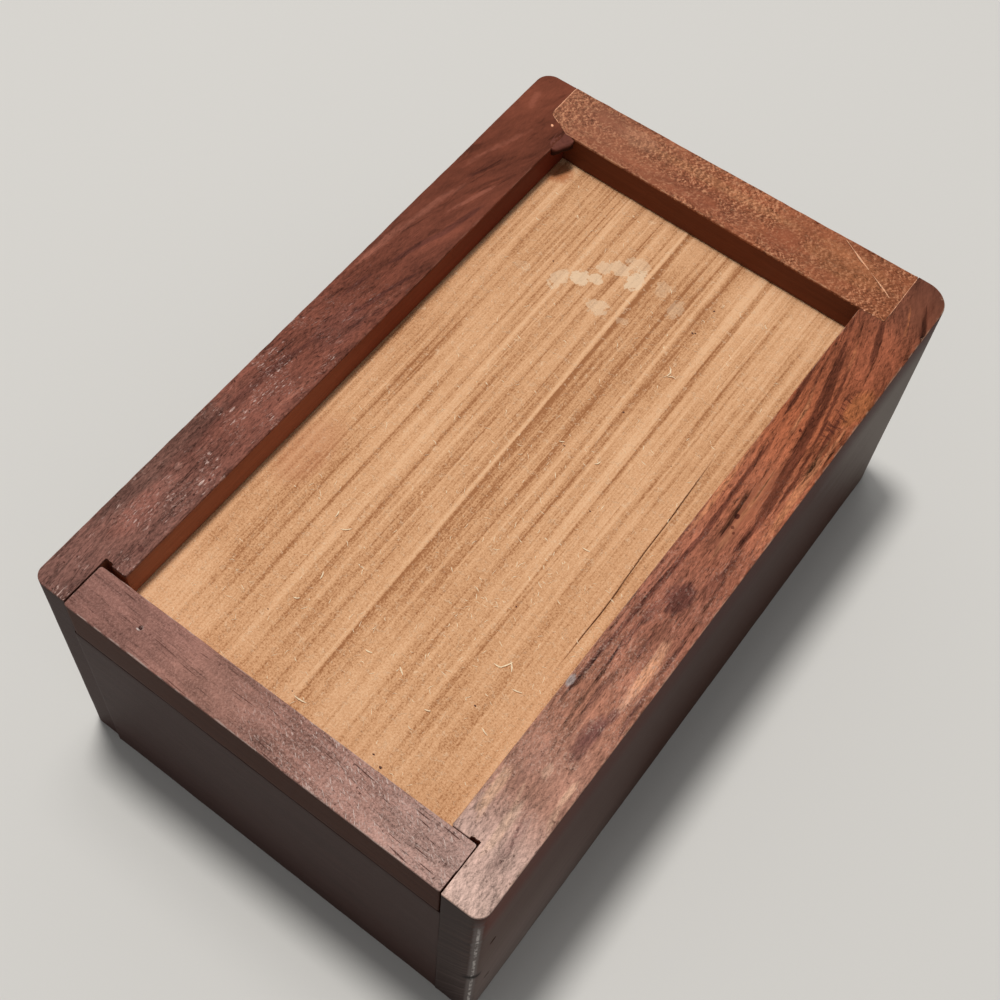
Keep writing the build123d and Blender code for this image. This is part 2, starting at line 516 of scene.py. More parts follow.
def hairlines(place, scale, width, detail=1.0, distortion=0.0):
    # thin wandering lines, where a noise passes through its middle value
    return fade(abs(noise(place, scale, detail, 0.5, distortion) - 0.5), 0.0, width, 1.0, 0.0)


def finish(tree, colour, roughness, height, bumpDepth, **fixed):
    # bumpDepth is in millimetres; the fixed values go straight onto the sockets
    bump = Value(node(tree, "Bump", {"Strength": 1.0, "Distance": bumpDepth * mm,
                                     "Height": height}).outputs[0])
    shader = Value(node(tree, "BsdfPrincipled", {
        "Base Color": colour, "Roughness": roughness, "Normal": bump,
        **{key.replace("_", " "): value for key, value in fixed.items()}}).outputs[0])
    node(tree, "OutputMaterial", {0: shader})


def woodGrain(look, x, y, z):
    # The noises that a board's colour is made from. They are stretched along the grain,
    # which bends and wanders, and its rings lie about the pith.
    lengthwise = look["grain"] == "Y"
    along, across = (y, x) if lengthwise else (x, y)
    share = along / (2 * (rightHigh[1] if lengthwise else halfWidth)) + 0.5
    seed = look["seed"]
    gritPlace = (along * look["gritStretch"], across, z + (seed + 2))
    grit = noise(gritPlace, look["gritScale"], 3, 0.72)
    step = 0.3 / look["gritScale"]
    beside = (gritPlace[0] + (0 if lengthwise else step),
              gritPlace[1] + (step if lengthwise else 0), gritPlace[2])
    slow = noise((along * 0.02, across * 0.07, z * 0.07), 1.0, 2)
    across = across + (slow - 0.5) * look["wander"] \
        + along * (along * (along * look["bend"] + look["curve"]) + look["slant"])
    aside, below = across - look["pith"][0], z - look["pith"][1]
    ring = (aside * aside + below * below).calc("SQRT")
    fibrous = fade(share, *look["fibreSpan"])
    return SimpleNamespace(
        place=(x, y, z), x=x, y=y, z=z, along=along, across=across, share=share,
        grit=grit, fibrous=fibrous,
        lit=noise(beside, look["gritScale"], 3, 0.72) - grit,       # slopes that face the lamp
        streak=noise((along * 0.035, ring, seed), look["streakScale"], 4, 0.65),
        lines=noise((along * 0.03, ring, seed + 3), look["lineScale"], 3, 0.7),
        mottle=noise((along * 0.4, across, z + (seed + 5)), 0.28, 3, 0.6),
        fibre=(noise((along * 0.12, across, z + seed), 4.2, 2, 0.6) - 0.5) * fibrous + 0.5,
        pores=fibrous * fade(noise((along * 0.13, across, z + (seed + 7)), 4.6, 1, 0.4),
                             0.64, 0.69),
        fissures=fade(noise((along * 0.05, across, z * 0.3 + seed), 3.0, 1, 0.4), 0.69, 0.73),
        pits=fade(noise((x, y, z), 1.15, 1, 0.4), 0.73, 0.77))


def woodFigure(tree, wood, look):
    # tone along the board, then the drawn bands of the figure and single patches
    colour = painted(wood.share, look["tones"])
    if look["drawn"]:
        for key, tone in (("darkBand", "darkTone"), ("lightBand", "lightTone")):
            band = attribute(tree, key) * (wood.lines * 3 + wood.streak * 1.6 - 1.3)
            band = fade(band + (wood.grit - 0.5) * 0.5, 0.34, 0.84)
            colour = mix(band * look["bandDepth"], colour, painted(wood.share, look[tone]))
    for centre, reach, shade, amount in look["patches"]:
        where = oval(wood.x, wood.y, centre, reach,
                     (wood.streak - 0.5) * 3 + (wood.grit - 0.5) * 1.5)
        colour = mix(where * amount, colour, paint(*shade))
    return colour


def liveliness(wood, look):
    # how strong the fine detail is: less where the wood is smooth
    calm = fade(wood.share, *look["calmSpan"])
    for centre, reach in look["calmSpots"]:
        calm = calm.atLeast(oval(wood.x, wood.y, centre, reach, (wood.mottle - 0.5) * 3))
    patchy = (fade(noise(wood.place, 0.15, 2, 0.5), 0.38, 0.62) - 1) * look["patchy"] + 1
    return (1 - calm * look["calmDepth"]) * patchy


def woodDetail(wood, look, colour):
    # streaks, dark lines and grit over the figure, with painted shade from the grit's slopes and
    # painted highlights on its crests, then pores and other small dents
    grain = wood.fibrous * 0.75 + 0.25
    # painted shade: slopes that face the lamp are painted lighter, the others darker
    shade = (wood.grit - 0.5) * look["grit"] + wood.lit * look["relief"] \
        + (wood.fibre - 0.5) * look["fibre"]
    shade = shade * wood.lively + (wood.streak - 0.5) * grain * look["streak"] \
        + (wood.mottle - 0.5) * look["mottle"]
    shade = (shade + 1).atLeast(look["darkest"]) \
        - fade(wood.lines, 0.56, 0.66) * grain * look["lines"] \
        - hairlines(wood.place, 0.75, 0.03, 3, 0.6) * (1 - wood.fibrous) * 0.3
    colour = mix(wood.lively * 0 + 1, colour, shade, "MULTIPLY")
    # painted highlights on crests that face the lamp
    colour = mix(fade(wood.lit, 0.03, 0.12) * wood.lively * look["paintedCrestHighlights"], colour,
                 paint(*look["dustAndHighlightTone"]))
    dents = (wood.pores * look["poreDepth"]).atLeast(wood.fissures * look["fissures"])
    dents = (dents * wood.lively).atLeast(wood.pits * wood.lively * look["pits"])
    colour = mix(dents, colour, paint(*look["poreTone"]))
    for centre, reach in look["crossDashes"]:
        dashes = noise((wood.x * 0.42 + wood.y * 0.1, wood.y * 1.2, look["seed"]), 1.5, 2)
        dashes = fade(dashes, 0.54, 0.62) * oval(wood.x, wood.y, centre, reach, soft=0.8)
        colour = mix(dashes * 0.75, colour, paint(*look["poreTone"]))
    return colour


def woodDust(wood, look, colour):
    # a fine powder, and short pale scratches where the gate lets them through
    gate = look["dustGate"]
    gate = fade(noise(wood.place, 0.2, 3, 0.6), gate, gate + 0.14) \
        * fade(wood.share, *look["dustSpan"])
    powder = noise((wood.x, wood.y, wood.z + 9), look["powderScale"], 2, 0.6)
    colour = mix(fade(powder, 0.54, 0.66) * gate * look["powder"], colour,
                 paint(*look["dustAndHighlightTone"]))
    turn = math.radians(look["scratchTurn"])
    cos, sin = math.cos(turn), math.sin(turn)
    leaned = (wood.along * cos + wood.across * sin, wood.across * cos - wood.along * sin)
    marks = noise((wood.along * 0.3, wood.across, 3.0), look["markScale"], 1, 0.5)
    scratches = noise((leaned[0] * 0.22, leaned[1], 8.0), look["markScale"] * 1.3, 1, 0.5)
    marks = fade(marks, 0.65, 0.71) * look["marks"]
    marks = marks.atLeast(fade(scratches, 0.63, 0.69) * look["scratch"]) * gate
    return mix(marks, colour, paint(*look["markTone"])), marks


def woodSides(wood, look):
    # the faces below the rim's top: joints and insides are raw, the outside is waxed
    x, y, z = wood.place
    raw = fade(abs(x), 38.2, 37.8) * fade(abs(y), 69.6, 69.2)
    inner, outer = (painted(wood.share, look[tones]) for tones in ("innerTones", "sideTones"))
    # painted reflection of the floor: paler towards the foot at the front end
    foot = fade(z, 42.0, 0.0) * fade(wood.share, 0.42, 0.06) * look["foot"]
    side = mix(raw, mix(foot, outer, paint(140, 124, 118)), inner)
    side = mix(raw * 0 + 1, side, (wood.streak - 0.5) * 0.7 + (wood.fibre - 0.5) * 0.3 + 1,
               "MULTIPLY")
    # the right face is redder under the rim, and has a painted reflection of the floor towards
    # its back end
    onRight = fade(x, 42.5, 43.5)
    side = mix(fade(z, 42.0, 52.0) * onRight, side, (1.0, 0.4, 0.28, 1.0), "MULTIPLY")
    paintedReflection = fade(y + z * 0.68 + (wood.mottle - 0.5) * 10, 56.0, 79.0) \
        * fade(z, 56.0, 43.0) * onRight
    side = mix(paintedReflection * look["paintedReflection"], side, paint(134, 122, 114))
    # spots painted on these faces: painted highlights, painted shade in a nick and a darker end
    # face
    for centre, reach, (low, high), cut, shade, amount in look["sideSpotsAndPaintedLight"]:
        broken = fade(noise((x, y, z * 0.5), 1.4, 3, 0.6), cut, cut + 0.25)
        soft = min(9.0, (high - low) / 2)
        where = oval(x, y, centre, reach, (wood.streak - 0.5) * 2, 0.8) \
            * fade(z, high, high - soft) * fade(z, low, low + soft)
        side = mix(where * broken * amount, side, paint(*shade))
    return side


def rosewood(name, look):
    # The rim's top is sanded and dusty, with paler worn edges; the other faces are
    # raw or dark with wax.
    material, tree, (x, y, z) = newMaterial(name)
    wood = woodGrain(look, x, y, z)
    wood.lively = liveliness(wood, look)
    top = woodDetail(wood, look, woodFigure(tree, wood, look))
    top, marks = woodDust(wood, look, top)
    edge = fade(noise(wood.place, 0.5, 2), 0.42, 0.6) * look["edge"]
    top = mix(attribute(tree, "edgeWear") * edge, top, paint(*look["edgeTone"]))
    onTop = fade(z, rim - 0.6, rim - 0.45)
    rough = onTop * (look["topRough"] - look["waxRough"]) + look["waxRough"] \
        + (wood.grit - 0.5) * 0.25 * onTop
    height = (wood.grit * 1.3 + wood.fibre * 0.5 - wood.pores * 0.6
              - wood.fissures * look["fissures"] - wood.pits + marks * 0.5)
    finish(tree, mix(onTop, woodSides(wood, look), top), rough,
           height * wood.lively * (onTop * 0.9 + 0.1), look["bump"],
           Specular_IOR_Level=look["gloss"])
    return material


woodBase = {
    # the grain's direction, its lean, curve and bend, how far it wanders, the pith's
    # place (across, z), and the shares of the board's length where fibres begin to show
    "grain": "Y", "slant": 0.0, "curve": 0.0, "bend": 0.0, "wander": 6.0,
    "pith": (-60.0, -30.0), "fibreSpan": (-1.0, -0.5), "seed": 1.0,
    # colours from the front or left end: (share of the length, red green blue)
    "tones": [(0.0, (116, 82, 74)), (0.15, (126, 86, 76)), (0.3, (125, 78, 66)),
              (0.45, (118, 70, 57)), (0.6, (113, 64, 50)), (0.8, (110, 60, 45)),
              (1.0, (112, 61, 45))],
    "darkTone": [(0.0, (96, 62, 56)), (0.5, (88, 50, 43)), (1.0, (86, 45, 34))],
    "lightTone": [(0.0, (150, 106, 94)), (0.5, (142, 88, 72)), (1.0, (134, 77, 60))],
    "drawn": False, "bandDepth": 0.85,
    # strength and size of the fine detail; relief is the strength of painted shade on slopes of
    # the grit, lighter where they face the lamp
    "streak": 1.3, "streakScale": 1.5, "lines": 0.3, "lineScale": 2.2, "mottle": 0.8,
    "fibre": 0.8, "grit": 1.6, "gritScale": 1.7, "gritStretch": 0.55, "relief": 2.4,
    "paintedCrestHighlights": 0.0, "darkest": 0.3,
    "poreTone": (60, 32, 28), "poreDepth": 0.45, "pits": 0.7, "fissures": 0.0,
    # smoother parts: shares of the length, spots (centre, reach), how smooth
    "calmSpan": (2.0, 3.0), "calmSpots": (), "calmDepth": 0.75, "patchy": 0.0,
    # spots of colour (centre, reach, colour, amount) and of short dashes (centre, reach)
    "patches": (), "crossDashes": (),
    # powder and pale scratches on the rim; the powder's colour also paints the highlights on the
    # crests
    "powder": 0.35, "powderScale": 2.9, "dustAndHighlightTone": (176, 140, 128), "dustGate": 0.46,
    "dustSpan": (0.62, 0.4), "marks": 0.75, "markTone": (206, 174, 164), "markScale": 2.1,
    "scratch": 0.3, "scratchTurn": 16.0, "edge": 0.4, "edgeTone": (156, 106, 90),
    # the other faces: outside, inside, a painted reflection of the floor at the foot and another
    # towards the back end, and spots (centre, reach, (low, high), how broken, colour, amount) of
    # painted light and tone
    "sideTones": [(0.0, (66, 46, 42)), (1.0, (64, 43, 38))],
    # the insides are lighter towards the front end: painted light, for the light that the panel
    # throws back
    "innerTones": [(0.0, (152, 98, 73)), (0.3, (150, 92, 67)), (0.57, (124, 62, 42)),
                   (0.78, (104, 46, 32)), (1.0, (104, 47, 34))],
    "foot": 0.0, "paintedReflection": 0.0, "sideSpotsAndPaintedLight": (),
    "waxRough": 0.5, "topRough": 0.6, "gloss": 0.05, "bump": 0.12,
}
leftLook = woodBase | {
    "slant": -0.13, "curve": -0.0015, "seed": 3.0, "drawn": True, "calmSpan": (0.45, 0.75),
    "patches": [((-43.0, -42.0), (2.2, 17.0), (98, 72, 64), 0.6),
                ((-39.5, -51.0), (2.2, 6.0), (140, 88, 76), 0.45),
                ((-41.0, -30.0), (1.2, 14.0), (98, 60, 52), 0.4),
                ((-34.9, -40.5), (0.2, 0.7), (206, 178, 168), 0.8),
                ((-34.2, -39.3), (0.25, 0.35), (66, 34, 30), 0.9),
                ((-34.3, -55.6), (0.5, 0.5), (92, 58, 52), 0.8),
                ((-40.4, -26.6), (0.2, 0.7), (196, 162, 152), 0.8),
                ((-40.0, -40.4), (0.6, 0.8), (160, 118, 106), 0.6),
                ((-37.0, -2.0), (3.0, 6.0), (110, 68, 60), 0.35)],
    "streak": 1.6, "bandDepth": 0.8, "markScale": 2.4, "gloss": 0.04, "lines": 0.34,
}
rightLook = woodBase | {
    "bend": 0.000033, "seed": 11.0, "pith": (75.0, -20.0), "drawn": True,
    # pale towards the front end: the wood's own tone with a painted sheen, here and in the
    # bands' tones
    "tones": [(0.0, (204, 174, 162)), (0.06, (192, 160, 148)), (0.15, (165, 121, 104)),
              (0.28, (159, 108, 88)), (0.42, (150, 96, 78)), (0.5, (152, 94, 73)),
              (0.58, (164, 99, 73)), (0.72, (154, 88, 60)), (0.86, (140, 80, 57)),
              (0.95, (110, 66, 50)), (1.0, (98, 59, 46))],
    "darkTone": [(0.0, (136, 100, 92)), (0.22, (116, 78, 69)), (0.45, (104, 60, 49)),
                 (0.65, (92, 48, 34)), (1.0, (84, 46, 34))],
    "lightTone": [(0.0, (208, 172, 150)), (0.2, (190, 148, 126)), (0.36, (192, 138, 111)),
                  (0.6, (182, 118, 84)), (1.0, (164, 100, 66))],
    "bandDepth": 0.9, "streak": 1.7, "mottle": 1.3, "grit": 1.4, "relief": 2.3,
    "lines": 0.5, "fibreSpan": (0.1, 0.34), "pits": 0.45,
    # a darker front end face, a painted highlight with its halo down the front right corner, and
    # painted shade in the corner nick
    "sideSpotsAndPaintedLight": [((38.0, -72.0), (9.0, 3.0), (-12.0, 80.0), -1.0, (60, 47, 44), 0.95),
               ((43.75, -69.65), (0.7, 0.7), (-12.0, 57.5), 0.1, (146, 136, 132), 0.7),
               ((43.8, -69.6), (0.24, 0.24), (-12.0, 55.0), 0.36, (236, 228, 222), 0.9),
               ((43.9, -69.5), (1.5, 1.5), (20.2, 24.2), -1.0, (26, 19, 17), 0.95)],
    "paintedReflection": 0.85, "darkest": 0.6, "gritStretch": 0.5, "edgeTone": (222, 182, 156),
    "foot": 1.0, "gloss": 0.03,
    "calmSpots": [((38.2, 12.0), (1.8, 9.0)), ((42.0, 66.0), (4.0, 6.0))],
    "patches": [((38.4, -10.0), (2.0, 3.2), (92, 54, 48), 0.85),
                ((36.4, -14.5), (0.9, 2.6), (112, 70, 60), 0.6),
                ((41.5, -5.0), (1.4, 3.0), (116, 70, 58), 0.55),
                ((40.2, -38.0), (1.8, 4.6), (108, 70, 66), 0.6),
                ((32.9, -32.0), (0.55, 1.2), (158, 148, 146), 0.8),
                ((41.6, -24.0), (1.0, 5.0), (192, 138, 106), 0.6),
                ((42.6, 39.0), (1.6, 4.0), (164, 100, 62), 0.7),
                # dark spots near (38, 7): pits whose hollows are painted dark as shade
                ((37.7, 8.3), (0.45, 0.5), (84, 40, 32), 0.9),
                ((38.2, 6.1), (0.3, 0.35), (92, 46, 36), 0.8),
                ((38.9, 5.3), (0.25, 0.3), (92, 46, 36), 0.8),
                ((37.3, 29.0), (0.35, 0.4), (84, 40, 30), 0.9),
                ((34.0, -53.0), (0.9, 4.0), (200, 160, 132), 0.6),
                ((38.4, -57.5), (0.8, 5.0), (206, 172, 150), 0.55),
                ((43.0, -47.0), (0.6, 2.6), (206, 166, 140), 0.7),
                ((38.6, -46.0), (0.7, 1.2), (196, 156, 134), 0.6),
                ((40.8, -59.0), (0.7, 5.0), (140, 108, 102), 0.4),
                ((36.2, -47.0), (0.7, 5.0), (140, 102, 90), 0.45)],
    "crossDashes": [((41.3, 35.5), (1.4, 6.5))],
    "poreTone": (74, 38, 31), "powder": 0.3, "dustAndHighlightTone": (216, 184, 168),
    "dustGate": 0.42, "dustSpan": (0.75, 0.2), "marks": 0.2, "markTone": (216, 184, 166),
    "scratch": 0.12,
    # lighter towards the front end: painted reflection of the pale floor
    "sideTones": [(0.0, (98, 76, 68)), (0.25, (80, 56, 48)), (0.45, (68, 44, 36)),
                  (1.0, (70, 46, 38))],
}
backLook = woodBase | {
    "grain": "X", "seed": 23.0, "pith": (95.0, 0.0), "wander": 9.0, "gritScale": 1.0,
    "tones": [(0.0, (157, 101, 76)), (0.2, (145, 91, 68)), (0.5, (148, 88, 61)),
              (1.0, (141, 83, 56))],
    "streak": 0.5, "mottle": 0.9, "fibre": 0.3, "grit": 0.8, "relief": 4.0, "darkest": 0.66,
    "patchy": 0.65, "lines": 0.0, "poreTone": (100, 54, 38), "poreDepth": 0.0, "pits": 0.2,
    "gritStretch": 0.9, "powderScale": 1.9, "dustAndHighlightTone": (208, 152, 116), "dustGate": 0.36,
    "paintedCrestHighlights": 0.65, "dustSpan": (1.2, 0.5), "edgeTone": (214, 160, 124), "marks": 0.16,
    "markTone": (220, 166, 130), "scratch": 0.2, "scratchTurn": 40.0,
    "sideTones": [(0.0, (66, 42, 36)), (1.0, (66, 42, 36))], "edge": 0.6,
    "innerTones": [(0.0, (104, 56, 35)), (0.5, (111, 61, 40)), (1.0, (107, 60, 40))],
    "patches": [((-20.5, 66.6), (4.0, 2.0), (170, 120, 94), 0.5),
                ((-28.0, 66.5), (4.5, 3.0), (136, 86, 66), 0.6),
                ((-1.0, 66.4), (15.0, 1.1), (186, 128, 90), 0.35),
                ((-3.0, 62.2), (11.0, 2.2), (142, 84, 62), 0.5),
                ((-3.5, 61.2), (4.0, 1.8), (144, 84, 60), 0.8),
                ((13.5, 62.3), (3.4, 3.2), (140, 80, 56), 0.85),
                ((26.0, 65.0), (8.0, 3.6), (162, 106, 70), 0.4),
                ((-10.0, 60.0), (20.0, 1.6), (140, 82, 60), 0.5)],
    "calmSpots": [((-3.5, 61.2), (4.0, 1.8)), ((13.5, 62.3), (3.4, 3.0)),
                  ((-27.0, 66.8), (4.0, 1.8)), ((-14.0, 60.4), (14.0, 1.6))],
    "bump": 0.34,
}
frontLook = woodBase | {"grain": "X", "seed": 41.0, "pith": (-95.0, 20.0)}
stripLook = woodBase | {
    "grain": "X", "seed": 57.0, "pith": (-90.0, 30.0), "slant": 0.04,
    # lighter towards its right end: painted sheen
    "tones": [(0.0, (124, 88, 80)), (0.25, (147, 106, 96)), (0.4, (151, 110, 98)),
              (0.55, (145, 106, 95)), (0.7, (158, 120, 109)), (0.85, (168, 134, 124)),
              (1.0, (176, 147, 138))],
    "poreTone": (80, 46, 40), "dustAndHighlightTone": (200, 172, 163), "dustGate": 0.26,
    "dustSpan": (0.35, 0.65), "marks": 0.4, "markTone": (214, 190, 181), "scratch": 0.75,
    "markScale": 2.9, "scratchTurn": -34.0, "streak": 0.9, "mottle": 1.3, "fibre": 0.6,
    "grit": 1.1, "gritScale": 2.2, "gritStretch": 0.8, "poreDepth": 0.15, "paintedCrestHighlights": 0.15,
    "fissures": 0.9, "edge": 0.7, "calmSpan": (0.6, 0.42), "calmDepth": 0.42,
    # the left pin's dimple: its hollow painted dark as shade, its front rim painted pale as a
    # highlight
    "patches": [((-24.8, -65.8), (0.34, 0.3), (58, 34, 32), 0.95),
                ((-25.0, -66.25), (0.3, 0.14), (220, 204, 198), 0.8)],
    "edgeTone": (210, 186, 176), "gloss": 0.02,
    "sideTones": [(0.0, (80, 50, 39)), (1.0, (76, 46, 35))],
}
leftWood = rosewood("rosewoodLeft", leftLook)
rightWood = rosewood("rosewoodRight", rightLook)
backWood = rosewood("rosewoodBack", backLook)
frontWood = rosewood("rosewoodFront", frontLook)
stripWood = rosewood("rosewoodStrip", stripLook)
print("rosewood materials")


boardLook = {
    "tones": [(0.0, (160, 106, 68)), (0.25, (186, 134, 94)), (0.5, (208, 158, 116)),
              (0.75, (219, 169, 127)), (1.0, (230, 184, 143))],
    "hairTone": (240, 204, 168), "filmTone": (230, 202, 170), "redTone": (196, 134, 100),
    "stainTone": (170, 96, 54), "crackTone": (92, 52, 30),
    # paler places: centre, reach, amount
    "pale": [((-28.0, -58.0), (8.0, 11.0), 0.3), ((18.0, 58.0), (24.0, 11.0), 0.18)],
    # dried glue on the lid's panel: centre, reach, strength
    "glue": [((-15.9, 34.9), (1.5, 2.4), 0.6), ((-13.0, 37.4), (1.7, 1.7), 0.9),
             ((-10.4, 38.9), (1.3, 1.2), 0.8), ((-10.6, 42.0), (1.4, 1.4), 0.6),
             ((-8.3, 43.6), (2.0, 1.6), 0.65), ((-4.5, 43.2), (1.5, 2.6), 0.9),
             ((-6.1, 46.4), (2.2, 1.6), 0.45), ((-6.5, 33.9), (1.9, 1.8), 0.6),
             ((0.6, 44.4), (1.5, 2.0), 0.3), ((4.9, 42.2), (1.3, 2.2), 0.35),
             ((-23.0, 33.0), (1.6, 1.0), 0.15), ((-1.4, 34.0), (1.2, 0.8), 0.3)],
}


def boardTone(x, y, z, ridge, grit, felt, cloud):
    # saw lines, long cuts, felt and grit added up: about 0 dark to 1 pale
    saw = noise((x, y * 0.014, z), 2.2, 3, 0.6)
    cuts, combs = (fade(noise((x, y * 0.01, z + shift), 1.5, 1, 0.4), 0.58, 0.66)
                   for shift in (11, 17))
    # the saw lines' ridges are painted lighter and their valleys darker: painted light and shade
    # over the mesh's own relief
    value = ridge * 0.29 + (grit - 0.5) * fade(y, -60, 20, 2.3, 1.7) + (felt - 0.5) * 0.8 \
        + ((saw - 0.5) * 1.1 + combs * 0.1 - cuts * 0.22) * fade(y, -60, 0, 0.6, 1.15) \
        + (cloud - 0.5) * 0.4 + 0.55
    for centre, reach, amount in boardLook["pale"]:
        value = value + oval(x, y, centre, reach, soft=0.9) * amount
    return value


def driedFilm(x, y, z, stains):
    # the strongest of the stains at each place, 0 where there is none
    edge = (noise((x, y, z), 1.1, 2, 0.6) - 0.5) * 3.2
    film = x * 0
    for centre, reach, strength in stains:
        film = film.atLeast(oval(x, y, centre, reach, edge, 0.22) * strength)
    return film


def fibreboard(name, stains=()):
    # the mesh's "ridge" carries the saw lines, about -1 to 1, and "crack" the splits
    material, tree, (x, y, z) = newMaterial(name)
    grit = noise((x, y, z), 3.0, 3, 0.75)
    felt = noise((x * 1.1, y * 0.8, z), 0.9, 4, 0.75, 0.6)
    cloud = noise((x, y, z), 0.06, 2)
    value = boardTone(x, y, z, attribute(tree, "ridge"), grit, felt, cloud)
    colour = painted(value, boardLook["tones"], "LINEAR")
    hairs = hairlines((x, y, z), 0.8, 0.035, 2, 0.4) \
        * fade(noise((x, y, z + 4), 0.75, 1), 0.52, 0.6)
    colour = mix(hairs * 0.5, colour, paint(*boardLook["hairTone"]))
    film = driedFilm(x, y, z, stains)
    colour = mix(film * 0.85, colour, paint(*boardLook["filmTone"]))
    redder = oval(x, y, (-28.0, -22.0), (4.0, 8.0), (cloud - 0.5) * 2, 0.9)
    colour = mix(redder * 0.35, colour, paint(*boardLook["redTone"]))
    stain = oval(x, y, (-30.6, 55.6), (2.6, 2.4), (felt - 0.5) * 3, 0.6)
    colour = mix(stain * 0.6, colour, paint(*boardLook["stainTone"]))
    colour = mix(attribute(tree, "crack"), colour, paint(*boardLook["crackTone"]))
    height = grit * (1 - film * 0.7) + felt * 0.6 + hairs * 0.5
    finish(tree, colour, 0.85, height, 0.09, Specular_IOR_Level=0.15)
    return material


def plainFinish(name, colour, roughness, spread=0.15, grainScale=3.0, bumpDepth=0.03, **fixed):
    # one colour, made lighter and darker by a small grain
    material, tree, place = newMaterial(name)
    grain = noise(place, grainScale, 3, 0.6)
    low, high = ([min(255, part * (1 + side * spread)) for part in colour] for side in (-1, 1))
    tone = ramp(grain, [(0.3, paint(*low)), (0.7, paint(*high))])
    finish(tree, tone, roughness, grain, bumpDepth, **fixed)
    return material


def fillerFinish(name):
    # painted shade: dark on its sides below the rim, with the filler's own tone on top
    material, tree, place = newMaterial(name)
    grain = noise(place, 0.9, 3, 0.6)
    top = ramp(grain, [(0.3, paint(92, 52, 44)), (0.7, paint(112, 65, 54))])
    tone = mix(fade(place[2], rim - 1.0, rim - 0.25), paint(50, 25, 19), top)
    finish(tree, tone, 0.7, grain, 0.12, Specular_IOR_Level=0.05)
    return material


lidBoard = fibreboard("fibreboardLid", boardLook["glue"])
baseBoard = fibreboard("fibreboardBase")
steel = plainFinish("steelWire", (96, 92, 90), 0.42, 0.25, 4.0, Metallic=0.9)
dryGlue = plainFinish("dryGlue", (206, 146, 112), 0.55, 0.25)
paleDust = plainFinish("paleDust", (214, 158, 122), 0.7, 0.2)
darkFiller = fillerFinish("darkFiller")
fluff = plainFinish("fluff", (246, 214, 180), 0.8, 0.1)
darkSpeck = plainFinish("darkSpeck", (84, 48, 32), 0.8, 0.3)
print("other materials")


# walls
leftFace = -halfWidth + box["leftFront"]
leftFarFace = -halfWidth + box["leftBack"]
leftShoulder = leftLow[1] + box["leftRabbet"]
rightFace = halfWidth - box["rightFront"]
rightFarFace = halfWidth - box["rightBack"]
rightShoulder = rightLow[1] + box["rightRabbet"]


def rimRelief(depth, seed):
    # small dents and wear of a planed top, never above it
    return lambda p: -depth * (0.5 + 0.5 * np.clip(
        layeredNoise(p * [1.6, 0.8], 2.0, seed, 4) * 0.8, -1, 1))


def bandField(points, bands):
    # strength * exp(-(distance from the line / width)^2), less near the line's ends,
    # and the largest of all bands
    total = np.zeros(len(points))
    for line, width, strength in bands:
        line = np.array(line, float)
        run = np.diff(line, axis=0)
        away = points[:, None] - line[:-1]
        share = np.clip((away * run).sum(-1) / (run ** 2).sum(-1), 0, 1)
        gap = np.linalg.norm(away - share[..., None] * run, axis=-1).min(1)
        apart = np.linalg.norm(points[:, None] - line[[0, -1]], axis=2).min(1)
        reach = 0.3 * np.linalg.norm(run, axis=1).sum()
        total = np.maximum(total, strength * np.exp(-(gap / width) ** 2)
                           * np.clip(apart / reach, 0, 1) ** 0.7)
    return total


def drawFigure(piece, figure=()):
    # the wood's own bands, and its worn edges where the rim's surface turns over
    places, normals = np.zeros((2, len(piece.data.vertices) * 3), np.float32)
    piece.data.vertices.foreach_get("co", places)
    piece.data.vertices.foreach_get("normal", normals)
    places, normals = places.reshape(-1, 3) / mm, normals.reshape(-1, 3)
    values = {key: bandField(places[:, :2], bands) for key, bands in dict(figure).items()}
    values["edgeWear"] = np.clip((0.97 - normals[:, 2]) / 0.15, 0, 1) \
        * (places[:, 2] > rim - 0.3) * (normals[:, 2] > 0.1)
    store(piece, values)


# bands of the figure: points along the line (x, y), half width, strength
leftFigure = {
    "darkBand": [
        ([(-42.6, -41), (-41.5, -33), (-40.9, -22), (-40.1, -13), (-38.6, -6), (-37.2, 2)],
         0.8, 1.0),
        ([(-43.6, -62), (-43.4, -52), (-42.4, -44)], 1.6, 0.7),
        ([(-41.8, -3), (-40.2, 10.6), (-37.7, 19.4), (-35.6, 25.8), (-33.6, 33)], 0.6, 1.0),
        ([(-37.8, -3), (-36.4, 4), (-35.1, 10.6), (-33.6, 15.5), (-32.2, 20)], 0.5, 1.1),
        ([(-36.2, -3), (-34.6, 3), (-33.4, 8)], 0.7, 0.7),
        ([(-36.2, 22), (-34.4, 32), (-33.4, 38)], 0.8, 0.7),
        ([(-43.0, 26), (-41.0, 36), (-38.4, 46), (-35.6, 55)], 1.0, 0.55),
        ([(-42.6, 46), (-40.0, 56), (-38.4, 61)], 0.9, 0.5)],
    "lightBand": [
        ([(-34.8, -24), (-34.4, -18), (-33.8, -11)], 0.7, 0.8),
        ([(-37.4, -60), (-36.6, -52), (-36.2, -44)], 1.2, 0.5),
        ([(-44.2, 4), (-42.6, 20), (-40.8, 32), (-38.4, 41)], 0.9, 0.9),
        ([(-38.6, 28), (-36.2, 36), (-34.2, 42)], 0.5, 1.0),
        ([(-43.4, 34), (-41.4, 45), (-38.4, 54), (-36.2, 60)], 0.8, 0.7),
        ([(-40.6, 58), (-43.0, 67)], 1.2, 0.6),
        ([(-35.4, -2), (-34.2, 8), (-33.0, 16)], 0.6, 0.7)],
}
